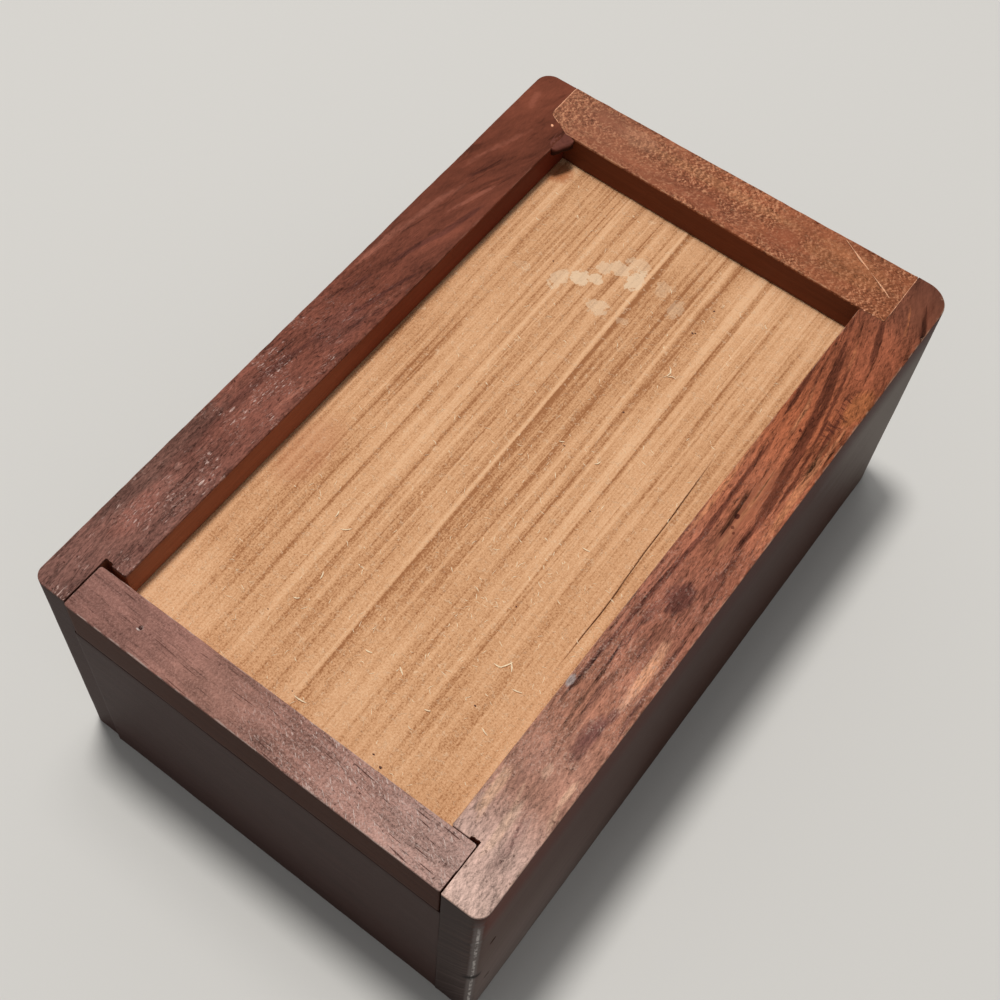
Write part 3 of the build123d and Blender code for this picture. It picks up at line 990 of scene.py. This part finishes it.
rightFigure = {
    "darkBand": [
        ([(33.2, -44), (33.5, -30), (33.9, -20), (34.6, -8), (35.2, 2), (35.0, 9), (34.6, 17),
          (34.6, 24), (33.6, 31), (32.6, 37)], 0.6, 0.95),
        ([(33.6, 28), (33.0, 36), (32.4, 44)], 0.6, 1.0),
        ([(35.4, -34), (35.6, -24), (35.8, -16), (35.2, -6)], 0.8, 0.65),
        ([(36.6, 20), (36.0, 30), (34.6, 38), (32.6, 47)], 0.4, 0.8),
        ([(40.8, -4), (41.0, 9), (40.1, 18), (39.0, 26), (37.8, 34), (36.2, 42), (34.6, 48),
          (32.8, 55), (32.0, 58)], 1.0, 1.3),
        ([(42.6, 6), (41.6, 20), (40.4, 30), (38.8, 38), (37.2, 46), (35.2, 54)], 0.4, 0.9),
        ([(44.2, 14), (42.6, 26), (41.4, 33), (40.6, 39), (39.0, 47)], 0.7, 1.0),
        ([(40.4, 46), (38.2, 54), (36.0, 61)], 0.7, 0.95),
        ([(33.4, 50), (33.0, 54), (33.2, 58)], 0.8, 0.8),
        ([(40.4, -8), (41.8, 0), (42.6, 6)], 0.7, 0.8),
        ([(40.0, -43), (40.6, -36), (42.0, -29)], 1.0, 0.9),
        ([(43.9, -40), (43.4, -28), (43.2, -18), (42.0, -10)], 0.6, 0.9),
        ([(38.0, -42), (37.4, -30), (38.4, -22), (38.8, -12)], 0.8, 0.7),
        ([(42.0, -64), (40.4, -56), (38.4, -47), (37.8, -38)], 0.9, 0.6),
        ([(44.0, 54), (42.9, 62), (41.6, 70)], 1.3, 0.6),
        ([(44.2, 42), (43.0, 50), (41.0, 58)], 0.5, 0.7)],
    "lightBand": [
        ([(41.6, -33), (41.5, -25), (41.0, -15)], 1.0, 1.1),
        ([(35.2, -60), (33.9, -54), (33.0, -45)], 0.8, 0.8),
        ([(39.6, -62), (38.0, -54), (36.2, -46)], 0.8, 0.6),
        ([(44.0, -55), (42.6, -46)], 0.6, 0.9),
        ([(43.6, -2), (43.4, 10), (43.0, 24), (42.4, 40), (41.6, 48)], 0.8, 1.0),
        ([(37.4, -8), (38.6, 2), (38.2, 14), (37.6, 26)], 0.9, 0.6),
        ([(36.6, 22), (35.8, 33), (34.0, 42)], 0.5, 0.8),
        ([(33.0, -2), (32.8, 12), (32.4, 28)], 0.6, 1.2),
        ([(42.4, 54), (40.6, 60.5), (38.3, 66)], 0.4, 0.62),
        ([(38.0, 42), (36.4, 49), (34.8, 54)], 0.6, 0.5)],
}
leftWall = board("leftWall", [
    (-halfWidth, leftLow[1], box["frontCorner"], box["endWear"]),
    (leftLip, leftLow[1], 0.15, box["jointWear"]),
    (leftLip, leftShoulder, 0.12, box["jointWear"]),
    (leftFace, leftShoulder, 0.3, box["innerWear"]),
    (leftFarFace, leftHigh[1] - box["leftBackInner"], 0.3, box["jointWear"]),
    (leftBackLip, leftHigh[1] - box["leftBackRabbet"], 0.3, box["jointWear"]),
    (leftBackLip, leftHigh[1], 0.2, box["endWear"]),
    (-halfWidth, leftHigh[1], box["backLeftCorner"], box["outerWear"]),
], 0, rim, seed=11, capStep=0.34, topRelief=rimRelief(0.10, 12),
    chips=[(-44.5, -48.0, 1.2, 0.2), (-44.5, 12.0, 1.6, 0.15), (-31.9, 31.0, 1.0, 0.3)])
carve(leftWall, sideGrooves(-1) + bradCutters(-1, (-1, 1)))
carve(leftWall, [prism(kerfPlan(-1, leftLip, leftShoulder), -1, rim + 1)])
drawFigure(leftWall, leftFigure)
fit(leftWall, leftWood, "box", "rosewood", "left_side")

rightWall = board("rightWall", [
    (rightLip, rightLow[1], 0.15, box["endWear"]),
    (halfWidth, rightLow[1], box["frontCorner"], box["outerWear"]),
    (halfWidth, rightHigh[1], box["backRightCorner"], box["endWear"]),
    (rightLip, rightHigh[1], 0.2, box["jointWear"]),
    (rightLip, rightHigh[1] - box["rightBackRabbet"], 0.12, box["jointWear"]),
    (rightFarFace, rightHigh[1] - box["rightBackRabbet"], 0.3, box["innerWear"]),
    (rightFace, rightShoulder, 0.4, box["jointWear"]),
    (rightLip, rightShoulder, 0.12, box["jointWear"]),
], 0, rim, seed=31, capStep=0.34, topRelief=rimRelief(0.13, 32),
    chips=[(44.5, -45.8, 0.9, 0.45), (44.5, -52.0, 0.5, 0.3), (44.5, -61.5, 0.4, 0.45),
           (44.5, 2.0, 0.8, 0.2), (44.5, 35.0, 1.0, 0.2), (32.3, -58.0, 3.5, 0.5),
           (32.3, -52.0, 4.0, 0.2), (32.3, -33.0, 0.6, 0.4)])
carve(rightWall, sideGrooves(1) + bradCutters(1, (-1, 1)))
carve(rightWall, [prism(kerfPlan(1, rightLip, rightShoulder), -1, rim + 1)] + nicks)
drawFigure(rightWall, rightFigure)
fit(rightWall, rightWood, "box", "rosewood", "right_side")

backWall = board("backWall", [
    (leftBackLip, leftHigh[1] - box["leftBackRabbet"], 0.3, box["jointWear"]),
    (leftFarFace, leftHigh[1] - box["leftBackInner"], 0.3, box["innerWear"]),
    (rightFarFace, rightHigh[1] - box["rightBackRabbet"], 0.25, box["jointWear"]),
    (rightLip, rightHigh[1] - box["rightBackRabbet"], 0.3, box["jointWear"]),
    (rightLip, backHigh[1], 0.2, box["outerWear"]),
    (leftBackLip, box["backFaceLeft"], 0.2, box["jointWear"]),
], 0, rim, seed=51, capStep=0.3,
    topRelief=lambda p: -(0.07 + 0.25 * np.clip((p[:, 1] - 61.5) / 3, 0, 1))
    * (0.5 + 0.5 * np.clip(1.2 * layeredNoise(p, 1.1, 52), -1, 1)))
carve(backWall, [
    blockCutter((-far, 0, grooveLow), (far, box["backGrooveY"], grooveHigh)),
    blockCutter((-far, 0, baseLow[2]), (far, box["backGrooveY"], baseHigh[2])),
] + bradCutters(-1, (1,)) + bradCutters(1, (1,)))
drawFigure(backWall)
fit(backWall, backWood, "box", "rosewood", "back_end")

frontWall = board("frontWall", [
    (frontLow[0], frontLow[1], 0.1, box["endWear"]),
    (frontHigh[0], frontLow[1], 0.1, box["jointWear"]),
    (frontHigh[0], frontHigh[1], 0.15, box["jointWear"]),
    (frontLow[0], frontHigh[1], 0.15, box["jointWear"]),
], 0, frontHigh[2], seed=71, capStep=1.2)
carve(frontWall, [blockCutter((-far, baseLow[1] - 0.2, baseLow[2]), (far, 0, baseHigh[2]))]
      + bradCutters(-1, (-1,)) + bradCutters(1, (-1,)))
fit(frontWall, frontWood, "box", "rosewood", "front_end")
print("walls")


# lid
strip = {
    "rightGapFront": 0.32, "rightGapBack": 0.16, "gapStepY": -66.2,
    "pinSpacing": 49.6, "pinSet": 0.4,
    # distance into the wood and radius
    "pinHole": [(0.3, 0.2), (0.36, 0.41), (5, 0.41), (9.5, 0.41)],
    "dimple": [(-1, 0.42), (0, 0.4), (0.2, 0.34), (0.33, 0.14)],
    "askew": 0.2,               # the strip is this much thinner at its left end
}
pinY = (stripLow[1] + stripHigh[1]) / 2
stripGap = rightLip - strip["rightGapFront"]
lidStrip = board("lidStrip", [
    (stripLow[0], stripLow[1], 0.35, box["outerWear"]),
    (stripGap, stripLow[1], 0.3, box["jointWear"]),
    (stripGap + 0.06, strip["gapStepY"] - 0.25, 0.12, box["jointWear"]),
    (rightLip - strip["rightGapBack"], strip["gapStepY"], 0.12, box["jointWear"]),
    (rightLip - strip["rightGapBack"], stripHigh[1], 0.4, box["innerWear"]),
    (stripLow[0], stripHigh[1] - strip["askew"], 0.5, box["jointWear"]),
], stripLow[2], rim, seed=91, capStep=0.34, rowStep=0.8, underWear=0.15,
    topRelief=rimRelief(0.08, 92),
    chips=[(-5.0, -70.2, 0.9, 0.2), (9.0, -70.2, 0.7, 0.25), (-22.0, -70.2, 1.2, 0.15),
           (-12.4, -61.5, 0.8, 0.3), (18.0, -61.4, 0.6, 0.25)])
# both pins are filled over; the left one has left a small dimple
pinX = strip["pinSpacing"] / 2
pinHoles = [turned(strip["pinHole"], (x, pinY, rim), (0, 0, -1), 20) for x in (-pinX, pinX)]
dimple = turned(strip["dimple"], (-pinX, pinY, rim), (0, 0, -1), 20)
carve(lidStrip, [blockCutter((-far, panelLow[1], 0), (far, far, panelHigh[2]))])
carve(lidStrip, pinHoles + [dimple])
drawFigure(lidStrip)
fit(lidStrip, stripWood, "lid", "rosewood", "lid_end_strip")


sawLines = {
    "lean": 0.0162, "start": 58.0, "sway": 0.3,     # x of a line is given at y = start
    # noise layers: cell across, cell along, strength
    "layers": [(2.2, 50, 0.4), (1.1, 40, 0.45), (0.55, 24, 0.35), (0.3, 8, 0.3)],
    "hiddenDepth": 0.03,        # half the lines' depth on the hidden faces
}


def ridges(x, y, seed):
    # Saw lines along Y: noise stretched along the board, coarse and fine. A line's x
    # grows by the lean for each millimetre towards the front.
    across = x - sawLines["lean"] * (sawLines["start"] - y) \
        + sawLines["sway"] * softNoise(np.stack([x / 3, y], -1), 40.0, seed)
    value = 0
    for number, (cell, run, strength) in enumerate(sawLines["layers"]):
        value = value + strength * softNoise(np.stack([across, y * cell / run], -1), cell,
                                             seed + number)
    return across, value


panel = {
    "seed": 111, "depth": 0.12, "crackHalf": 0.075, "crackDepth": 0.35,
    # deeper lines: x at the back end, width, strength; steep on their left
    "valleys": [(-26.6, 1.6, 0.9), (-20.5, 0.8, 1.0), (-17.6, 0.8, 1.0), (-13.2, 1.6, 1.5),
                (-2.6, 1.6, 2.3), (3.7, 0.9, 0.9), (7.0, 0.7, 0.9), (8.9, 1.0, 1.5),
                (15.1, 1.2, 1.9), (20.7, 1.0, 1.4), (27.4, 0.8, 0.8)],
    # raised lines beside them: x at the back end, half width, strength
    "banks": [(-22.2, 1.2, 0.6), (-15.6, 0.6, 1.1), (-11.0, 0.45, 0.9), (-3.1, 0.4, 2.0),
              (1.6, 0.5, 0.6), (7.9, 0.4, 1.1), (13.9, 0.9, 1.1), (18.7, 1.1, 0.5),
              (24.0, 2.0, 0.35)],
    # the split beside the right edge, from back to front, and where the mesh is finer
    "crack": [(27.3, 22.0), (28.1, 3.6), (28.1, -0.3), (28.8, -16.3), (28.75, -30.0)],
    "finer": [(26.9, 29.2, 0.07)],
}


def panelRidges(x, y):
    across, value = ridges(x, y, panel["seed"])
    # the lines come and go along the board, and die away towards its front end
    swell = 0.85 + 0.35 * softNoise(np.stack([across / 2, y / 36], -1), 1.3, 119)
    swell = swell * (0.55 + 0.45 * np.clip((y + 62) / 50, 0, 1))
    for middle, width, strength in panel["valleys"]:
        away = across - middle
        groove = 0.65 * np.exp(-(away / (0.45 * width)) ** 2) + 0.35 * np.exp(-away / width)
        value = value - strength * swell * np.where(away > 0, groove, np.exp(away / 0.12))
    for middle, width, strength in panel["banks"]:
        value = value + strength * swell * np.exp(-((across - middle) / width) ** 2)
    value = value - 0.4 * np.exp(-((across - 1) / 9) ** 2) * np.clip(y / 25, 0, 1) \
        - 0.4 * np.exp(-((across - 6) / 9) ** 2 - ((y + 30) / 18) ** 2)
    return np.clip(value, -2, 2)


def splitDepth(x, y):
    # 1 in the middle of the split and 0 beside it, less towards its ends
    crackX, crackY = np.array(panel["crack"]).T
    middle = np.interp(-y, -crackY, crackX) + 0.06 * softNoise(y[..., None], 3.0, 137)
    taper = np.clip(np.minimum(crackY[0] - y, y - crackY[-1]) / 16, 0, 1)
    return np.clip(1.3 - np.abs(x - middle) / panel["crackHalf"], 0, 1) \
        * np.clip(taper * 1.6, 0, 1)


def slab(name, low, high, x, y, topDepth, underDepth, **values):
    # two grids, top and underside, joined round their four sides; each value is a
    # pair of arrays, for the top and for the underside
    top = np.stack([x, y, high[2] - topDepth], -1)
    under = np.stack([x, y, low[2] + underDepth], -1)
    rows, columns = x.shape
    count = rows * columns
    topFaces = gridFaces(rows, columns, False)
    number = np.arange(count).reshape(rows, columns)
    edge = np.concatenate([number[0, :-1], number[:-1, -1], number[-1, :0:-1],
                           number[:0:-1, 0]])
    later = np.roll(edge, -1)
    sides = np.stack([edge + count, later + count, later, edge], -1)
    piece = meshFrom(name, np.concatenate([top.reshape(-1, 3), under.reshape(-1, 3)]),
                     [topFaces, topFaces[:, ::-1] + count, sides])
    store(piece, {key: np.concatenate([part.ravel() for part in pair])
                  for key, pair in values.items()})
    return piece


def edged(start, end, step, closer=()):
    # even spacing, with a few close lines at both ends for a small round
    fine = np.array([0, 0.06, 0.18, 0.4])
    inner = np.linspace(start + 0.8, end - 0.8, int((end - start) / step))
    for low, high, space in closer:
        inner = np.concatenate([inner[(inner < low) | (inner > high)],
                                np.arange(low, high, space)])
    return np.concatenate([start + fine, np.sort(inner), end - fine[::-1]])


def edgeDrop(x, y, low, high, radius=0.4):
    # quarter round along the four edges: radius - sqrt(radius^2 - inset^2)
    gap = np.minimum(np.minimum(x - low[0], high[0] - x), np.minimum(y - low[1], high[1] - y))
    inset = np.clip(radius - gap, 0, radius)
    return radius - np.sqrt(np.maximum(radius ** 2 - inset ** 2, 0))


def boardGrid(low, high, stepX, stepY, closer=()):
    # a grid over a board, closer at its edges, and how far these are rounded down
    x, y = np.meshgrid(edged(low[0], high[0], stepX, closer), edged(low[1], high[1], stepY))
    return x, y, edgeDrop(x, y, low, high)


def makeLidPanel():
    x, y, drop = boardGrid(panelLow, panelHigh, 0.25, 1.3, panel["finer"])
    top, under, crack = panelRidges(x, y), ridges(x, y, 131)[1], splitDepth(x, y)
    return slab("lidPanel", panelLow, panelHigh, x, y,
                drop + panel["depth"] * (0.5 - top / 4) + panel["crackDepth"] * crack,
                drop + sawLines["hiddenDepth"] * (1 - np.clip(under, -1, 1)),
                ridge=(top, under), crack=(crack, crack * 0))


def makeBasePanel():
    x, y, drop = boardGrid(baseLow, baseHigh, 0.6, 2.0)
    top, under = (np.clip(ridges(x, y, seed)[1], -1, 1) for seed in (151, 161))
    return slab("basePanel", baseLow, baseHigh, x, y,
                drop + sawLines["hiddenDepth"] * (1 - top),
                drop + sawLines["hiddenDepth"] * (1 - under), ridge=(top, under))


lidPanel = makeLidPanel()
carve(lidPanel, pinHoles)
fit(lidPanel, lidBoard, "lid", "fibreboard", "lid_panel")

basePanel = makeBasePanel()
fit(basePanel, baseBoard, "box", "fibreboard", "base_panel")
print("lid and base")


wire = {
    # distance along the wire and radius, from the blunt end to the point
    "brad": [(0, 0.12), (0.05, 0.38), (0.14, 0.55), (0.3, 0.6), (6, 0.6), (12, 0.6),
             (16.2, 0.6), (17.2, 0.42), (17.9, 0.1)],
    "pin": [(0, 0.08), (0.05, 0.26), (0.14, 0.37), (0.3, 0.4), (4, 0.4), (8.2, 0.4),
            (8.75, 0.28), (9.0, 0.08)],
}
bradX = halfWidth - box["bradSet"]
brads = joined("cornerBrads", [
    turned(wire["brad"], (side * bradX, end * bradY, z), (-side, 0, 0), 20)
    for side in (-1, 1) for end in (-1, 1) for z in box["bradHeights"]])
fit(brads, steel, "box", "steel_wire", "corner_brads")
pins = joined("lidPins", [
    turned(wire["pin"], (x, pinY, rim - strip["pinSet"]), (0, 0, -1), 18)
    for x in (-pinX, pinX)])
fit(pins, steel, "lid", "steel_wire", "lid_pins")
print("brads and pins")


# small things: fibres, specks, glue and filler
def strands(middles, lengths, turns, bends, radius, height, sides=3):
    # Bent threads that lie on the panel: middle + length*s*run + bend*s*s*side for s
    # from -1/2 to 1/2, thinner at the ends, all worked out together.
    s = np.array([-0.5, -0.3, 0.0, 0.3, 0.5])
    thin = np.array([0.25, 0.8, 1.0, 0.8, 0.25])
    count, rows = len(middles), len(s)
    run = np.stack([np.cos(turns), np.sin(turns), np.zeros(count)], -1)
    side = np.stack([-run[:, 1], run[:, 0], run[:, 2]], -1)
    up = np.array([0, 0, 1.0])
    line = middles[:, None] + (lengths[:, None] * s)[..., None] * run[:, None] \
        + (bends[:, None] * s ** 2)[..., None] * side[:, None] \
        + (height[:, None] * (1 - 3 * s ** 2))[..., None] * up
    angle = np.arange(sides) * 2 * np.pi / sides
    ring = np.cos(angle)[:, None] * side[:, None] + np.sin(angle)[:, None] * up
    points = line[:, :, None] + (radius[:, None] * thin)[..., None, None] * ring[:, None]
    start = (np.arange(count) * rows * sides)[:, None, None]
    quads = gridFaces(rows, sides, True)[None] + start
    ends = np.array([np.arange(sides)[::-1], np.arange(sides) + (rows - 1) * sides])[None]
    return points.reshape(-1, 3), [quads.reshape(-1, 4), (ends + start).reshape(-1, sides)]


def cord(path, radii, sides=8, flat=0.7, seed=1):
    # an uneven bead along a path, round its own line, with pointed ends
    path, radii = np.array(path, float), np.array(radii, float)
    gone = np.concatenate([[0], np.cumsum(np.linalg.norm(np.diff(path, axis=0), axis=1))])
    at = np.linspace(0, gone[-1], max(6, int(gone[-1] / 0.25)))
    line = np.stack([np.interp(at, gone, path[:, k]) for k in range(3)], -1)
    radius = np.interp(at, gone, radii) * (1 + 0.45 * layeredNoise(at[:, None], 1.1, seed))
    radius *= np.minimum(1, np.minimum(at, gone[-1] - at) / 0.4 + 0.05)
    run = np.gradient(line, axis=0)
    run /= np.linalg.norm(run, axis=1)[:, None]
    side = np.cross(run, (0, 0, 1))
    side /= np.linalg.norm(side, axis=1)[:, None]
    up = np.cross(side, run)
    angle = np.arange(sides) * 2 * np.pi / sides
    ring = np.cos(angle)[:, None] * side[:, None] + flat * np.sin(angle)[:, None] * up[:, None]
    points = line[:, None] + radius[:, None, None] * ring
    ends = np.array([np.arange(sides), np.arange(sides)[::-1] + (len(at) - 1) * sides])
    return points.reshape(-1, 3), [gridFaces(len(at), sides, True)[:, ::-1], ends]


def lump(middle, size, seed, rough=0.35, rows=9, sides=12):
    # a ball pulled about by noise: radius 1 + rough * noise
    t = np.linspace(0.05, np.pi - 0.05, rows)
    points, faces = turned(np.column_stack([-np.cos(t), np.sin(t)]), (0, 0, 0), (0, 0, 1),
                           sides)
    points = points * (1 + rough * layeredNoise(points, 0.9, seed))[:, None]
    return points * np.array(size) + np.array(middle), faces


fluffValues = {
    # loose fibres by the field: how many, low corner, high corner
    "fields": [(260, (-29, -60), (30, 5)), (120, (-29, 5), (30, 56)),
               (60, (8, -40), (20, -10))],
    "length": (0.4, 1.3), "bend": 0.9, "radius": (0.05, 0.1), "lift": (-0.02, 0.03),
    # the few that catch the eye: x, y, length, turn in degrees, bend
    "bright": [(11.9, 29.8, 2.6, 100, 3.0), (12.5, 29.3, 1.6, 20, -1.5),
               (22.2, -33.5, 2.6, 60, 0.6), (23.0, -33.0, 1.9, 130, 0.5),
               (21.2, -34.4, 1.6, 10, 1.0), (9.6, -44.4, 1.6, -35, 0.3),
               (-10.9, -38.9, 1.5, 110, 0.8), (-13.2, -30.0, 2.0, 40, 1.0),
               (26.2, -36.0, 1.8, 15, 0.5), (-16.2, -28.5, 1.4, 100, 0.8),
               (3.5, -45.0, 1.3, 10, 0.6), (17.0, -47.2, 1.1, 20, 0.4),
               (-11.6, -44.8, 1.2, 30, 0.9), (0.2, -58.0, 2.4, 5, 0.6),
               (12.4, 6.4, 1.3, 60, 0.9), (5.0, 6.2, 1.0, 30, 0.6),
               (20.3, -8.6, 1.6, 5, 0.4), (26.1, -44.6, 1.5, -20, 0.5)],
    "brightRadius": 0.19, "brightLift": 0.04,
}
random = np.random.default_rng(211)
surface = panelHigh[2] - 0.05


def scattered(count, low, high):
    # random places in a rectangle of the panel
    return np.column_stack([random.uniform(low[0], high[0], count),
                            random.uniform(low[1], high[1], count),
                            np.full(count, surface)])


def looseStrands():
    middles = np.concatenate([scattered(*field) for field in fluffValues["fields"]])
    count = len(middles)
    bend = fluffValues["bend"]
    return strands(middles, random.uniform(*fluffValues["length"], count),
                   random.uniform(0, np.pi, count), random.uniform(-bend, bend, count),
                   random.uniform(*fluffValues["radius"], count),
                   random.uniform(*fluffValues["lift"], count))


def brightStrands():
    x, y, length, turn, bend = np.array(fluffValues["bright"]).T
    lift = fluffValues["brightLift"]
    return strands(np.stack([x, y, np.full(len(x), surface + lift)], -1), length,
                   np.radians(turn), bend, np.full(len(x), fluffValues["brightRadius"]),
                   np.full(len(x), lift))


fibres = joined("looseFibres", [looseStrands(), brightStrands()])
fit(fibres, fluff, "lid", "fibreboard")

# dark specks in the board: x, y, size
specks = [(-19.0, 37.5, 0.28), (10.6, 46.2, 0.32), (10.2, 39.6, 0.36), (10.6, 39.9, 0.3),
          (9.9, 17.9, 0.3), (5.8, 5.9, 0.24), (16.6, -2.0, 0.25), (22.4, -41.9, 0.33),
          (14.9, -57.9, 0.36), (17.0, -58.9, 0.4), (-1.7, -57.5, 0.22), (22.5, 13.8, 0.2),
          (5.0, 29.5, 0.2), (-14.0, -49.0, 0.24), (17.3, -24.0, 0.25)]
boardSpecks = joined("boardSpecks", [
    lump((x, y, surface), (size * 0.7, size * 0.5, 0.05), 300 + k, 0.3, 5, 7)
    for k, (x, y, size) in enumerate(specks)])
fit(boardSpecks, darkSpeck, "lid", "fibreboard")


def level(shape):
    # glue and chaff are rubbed down to the rim
    points, faces = shape
    return np.column_stack([points[:, :2], np.minimum(points[:, 2], rim - 0.01)]), faces


# glue squeezed out of the back joints
glue = {
    "sunk": 0.08,               # how far below the rim the beads' middles lie
    # points (x, y, height above that) and radii
    "beads": [([(-37.1, 69.7, 0), (-37.15, 66.0, 0), (-37.05, 61.9, 0)], [0.13, 0.15, 0.1]),
              ([(-37.0, 61.6, 0), (-35.6, 60.9, 0), (-33.9, 60.2, 0), (-32.3, 59.4, 0)],
               [0.1, 0.15, 0.08, 0.12]),
              ([(37.2, 69.8, 0), (37.22, 66, 0), (37.2, 59.5, 0)], [0.09, 0.1, 0.05]),
              ([(20.0, 58.25, -0.04), (26, 58.1, -0.02), (29.5, 58.05, 0), (32.1, 57.95, 0)],
               [0.03, 0.06, 0.1, 0.08])],
    # x, y, size
    "blobs": [(33.2, 57.85, (0.3, 0.2, 0.1)), (34.9, 57.9, (0.3, 0.2, 0.1)),
              (-35.3, 59.1, (0.35, 0.3, 0.08))],
}
joint = rim - glue["sunk"]
shapes = [cord([(x, y, joint + z) for x, y, z in points], radii, seed=401 + k)
          for k, (points, radii) in enumerate(glue["beads"])]
shapes += [lump((x, y, joint), size, 405 + k) for k, (x, y, size) in enumerate(glue["blobs"])]
glueBeads = joined("glueBeads", [level(shape) for shape in shapes])
fit(glueBeads, dryGlue, "box", "rosewood")

# a pale scratch with raised chaff across the right end of the back wall
scratch = {
    "path": [(22.6, 69.8), (24.6, 68.7), (27.3, 67.2), (28.4, 66.7), (30.5, 65.6),
             (33.2, 64.2), (35.6, 62.8), (37.0, 62.0)],
    "radii": [0.12, 0.05, 0.2, 0.13, 0.05, 0.16, 0.06, 0.1], "sunk": 0.09,
}
scratchPath = [(x, y, rim - scratch["sunk"]) for x, y in scratch["path"]]
paleScratch = joined("paleScratch", [level(cord(scratchPath, scratch["radii"], 6, 0.6, 411))])
fit(paleScratch, paleDust, "box", "rosewood")

# filler that closes the far left corner of the recess
filler = {
    "outline": [(-33.2, 55.4, 0.5, 0.1), (-32.0, 54.2, 0.6, 0.5), (-31.2, 54.6, 1.0, 0.7),
                (-29.8, 57.4, 1.0, 0.7), (-29.7, 58.5, 0.4, 0.3), (-31.6, 59.5, 0.4, 0.05),
                (-33.6, 58.9, 0.8, 0.05)],
    "depth": 1.9, "sunk": 0.03,
}
cornerFiller = board("cornerFiller", filler["outline"], rim - filler["depth"],
                     rim - filler["sunk"], seed=421, step=0.25, rowStep=0.5, capStep=0.3,
                     underWear=0.9, wave=0.2, topRelief=rimRelief(0.12, 422))
fit(cornerFiller, darkFiller, "box", "rosewood")
print("small things")


# floor, light and camera
def seenDirectly(tree):
    # 1 for what the camera sees, also in a reflection or through glass
    rays = node(tree, "LightPath").outputs
    camera, glossy, through = (Value(rays["Is " + kind + " Ray"])
                               for kind in ("Camera", "Glossy", "Transmission"))
    return camera.atLeast(glossy).atLeast(through)


studio = {
    "paper": (214, 213, 210), "shade": (150, 149, 146),     # floor as seen, and as it lights
    "floorReach": 3.0,          # metres
    "fill": 0.25,               # how bright the room is, against white paper in the light
}
floorMaterial, tree, place = newMaterial("paleFloor")
floorColour = mix(seenDirectly(tree), paint(*studio["shade"]), paint(*studio["paper"]))
finish(tree, floorColour, 0.7, noise(place, 0.4, 3), 0.02, Specular_IOR_Level=0.2)
floorMesh = bpy.data.meshes.new("floor")
reach = studio["floorReach"]
floorMesh.from_pydata([(-reach, -reach, 0), (reach, -reach, 0), (reach, reach, 0),
                       (-reach, reach, 0)], [], [(0, 1, 2, 3)])
floor = bpy.data.objects.new("floor", floorMesh)
floor.data.materials.append(floorMaterial)
scene.collection.objects.link(floor)

world = bpy.data.worlds.new("studio")
scene.world = world
world.use_nodes = True
worldTree = world.node_tree
worldTree.nodes.clear()
fill = studio["fill"]
worldColour = mix(seenDirectly(worldTree), (fill, fill, fill, 1), paint(*studio["paper"]))
background = Value(node(worldTree, "Background", {0: worldColour, 1: 1.0}).outputs[0])
node(worldTree, "OutputWorld", {0: background})

lamps = {
    # direction towards the lamp, distance and size in metres, share of the light, colour
    "key": ((-0.14, 0.06, 1.0), 1.5, 0.2, 0.62, (1.0, 0.975, 0.94)),
    "second": ((-0.12, 0.20, 1.0), 1.6, 0.40, 0.13, (1.0, 0.98, 0.95)),
}
for lampName, (direction, distance, size, share, colour) in lamps.items():
    lamp = bpy.data.lights.new(lampName, "AREA")
    lamp.shape = "DISK"
    lamp.size = size
    lamp.color = colour
    lamp.energy = share * math.pi ** 2 * distance ** 2      # share 1 lights white as white
    lampObject = bpy.data.objects.new(lampName, lamp)
    towards = Vector(direction).normalized()
    lampObject.location = towards * distance
    lampObject.rotation_euler = towards.to_track_quat("Z", "Y").to_euler()
    scene.collection.objects.link(lampObject)

view = {
    # angles in degrees; place, lens and sensor in millimetres
    "azimuth": 35.712, "elevation": 59.962, "roll": 2.049,
    "place": (71.87, -122.94, 277.99), "lens": 56.31, "sensor": 36.0,
    "shiftX": 0.0631, "shiftY": 0.0004,
}
azimuth, elevation, roll = (math.radians(view[k]) for k in ("azimuth", "elevation", "roll"))
forward = Vector((-math.sin(azimuth) * math.cos(elevation),
                  math.cos(azimuth) * math.cos(elevation), -math.sin(elevation)))
right = Vector((math.cos(azimuth), math.sin(azimuth), 0))
up = right.cross(forward)
right, up = (math.cos(roll) * right + math.sin(roll) * up,
             math.cos(roll) * up - math.sin(roll) * right)
cameraData = bpy.data.cameras.new("camera")
cameraData.lens = view["lens"]
cameraData.sensor_width = view["sensor"]
cameraData.shift_x = view["shiftX"]
cameraData.shift_y = view["shiftY"]
camera = bpy.data.objects.new("camera", cameraData)
camera.matrix_world = Matrix.Translation(Vector(view["place"]) * mm) @ Matrix(
    (right, up, -forward)).transposed().to_4x4()
scene.collection.objects.link(camera)
scene.camera = camera
scene.view_settings.view_transform = "Standard"
print("floor, light and camera")
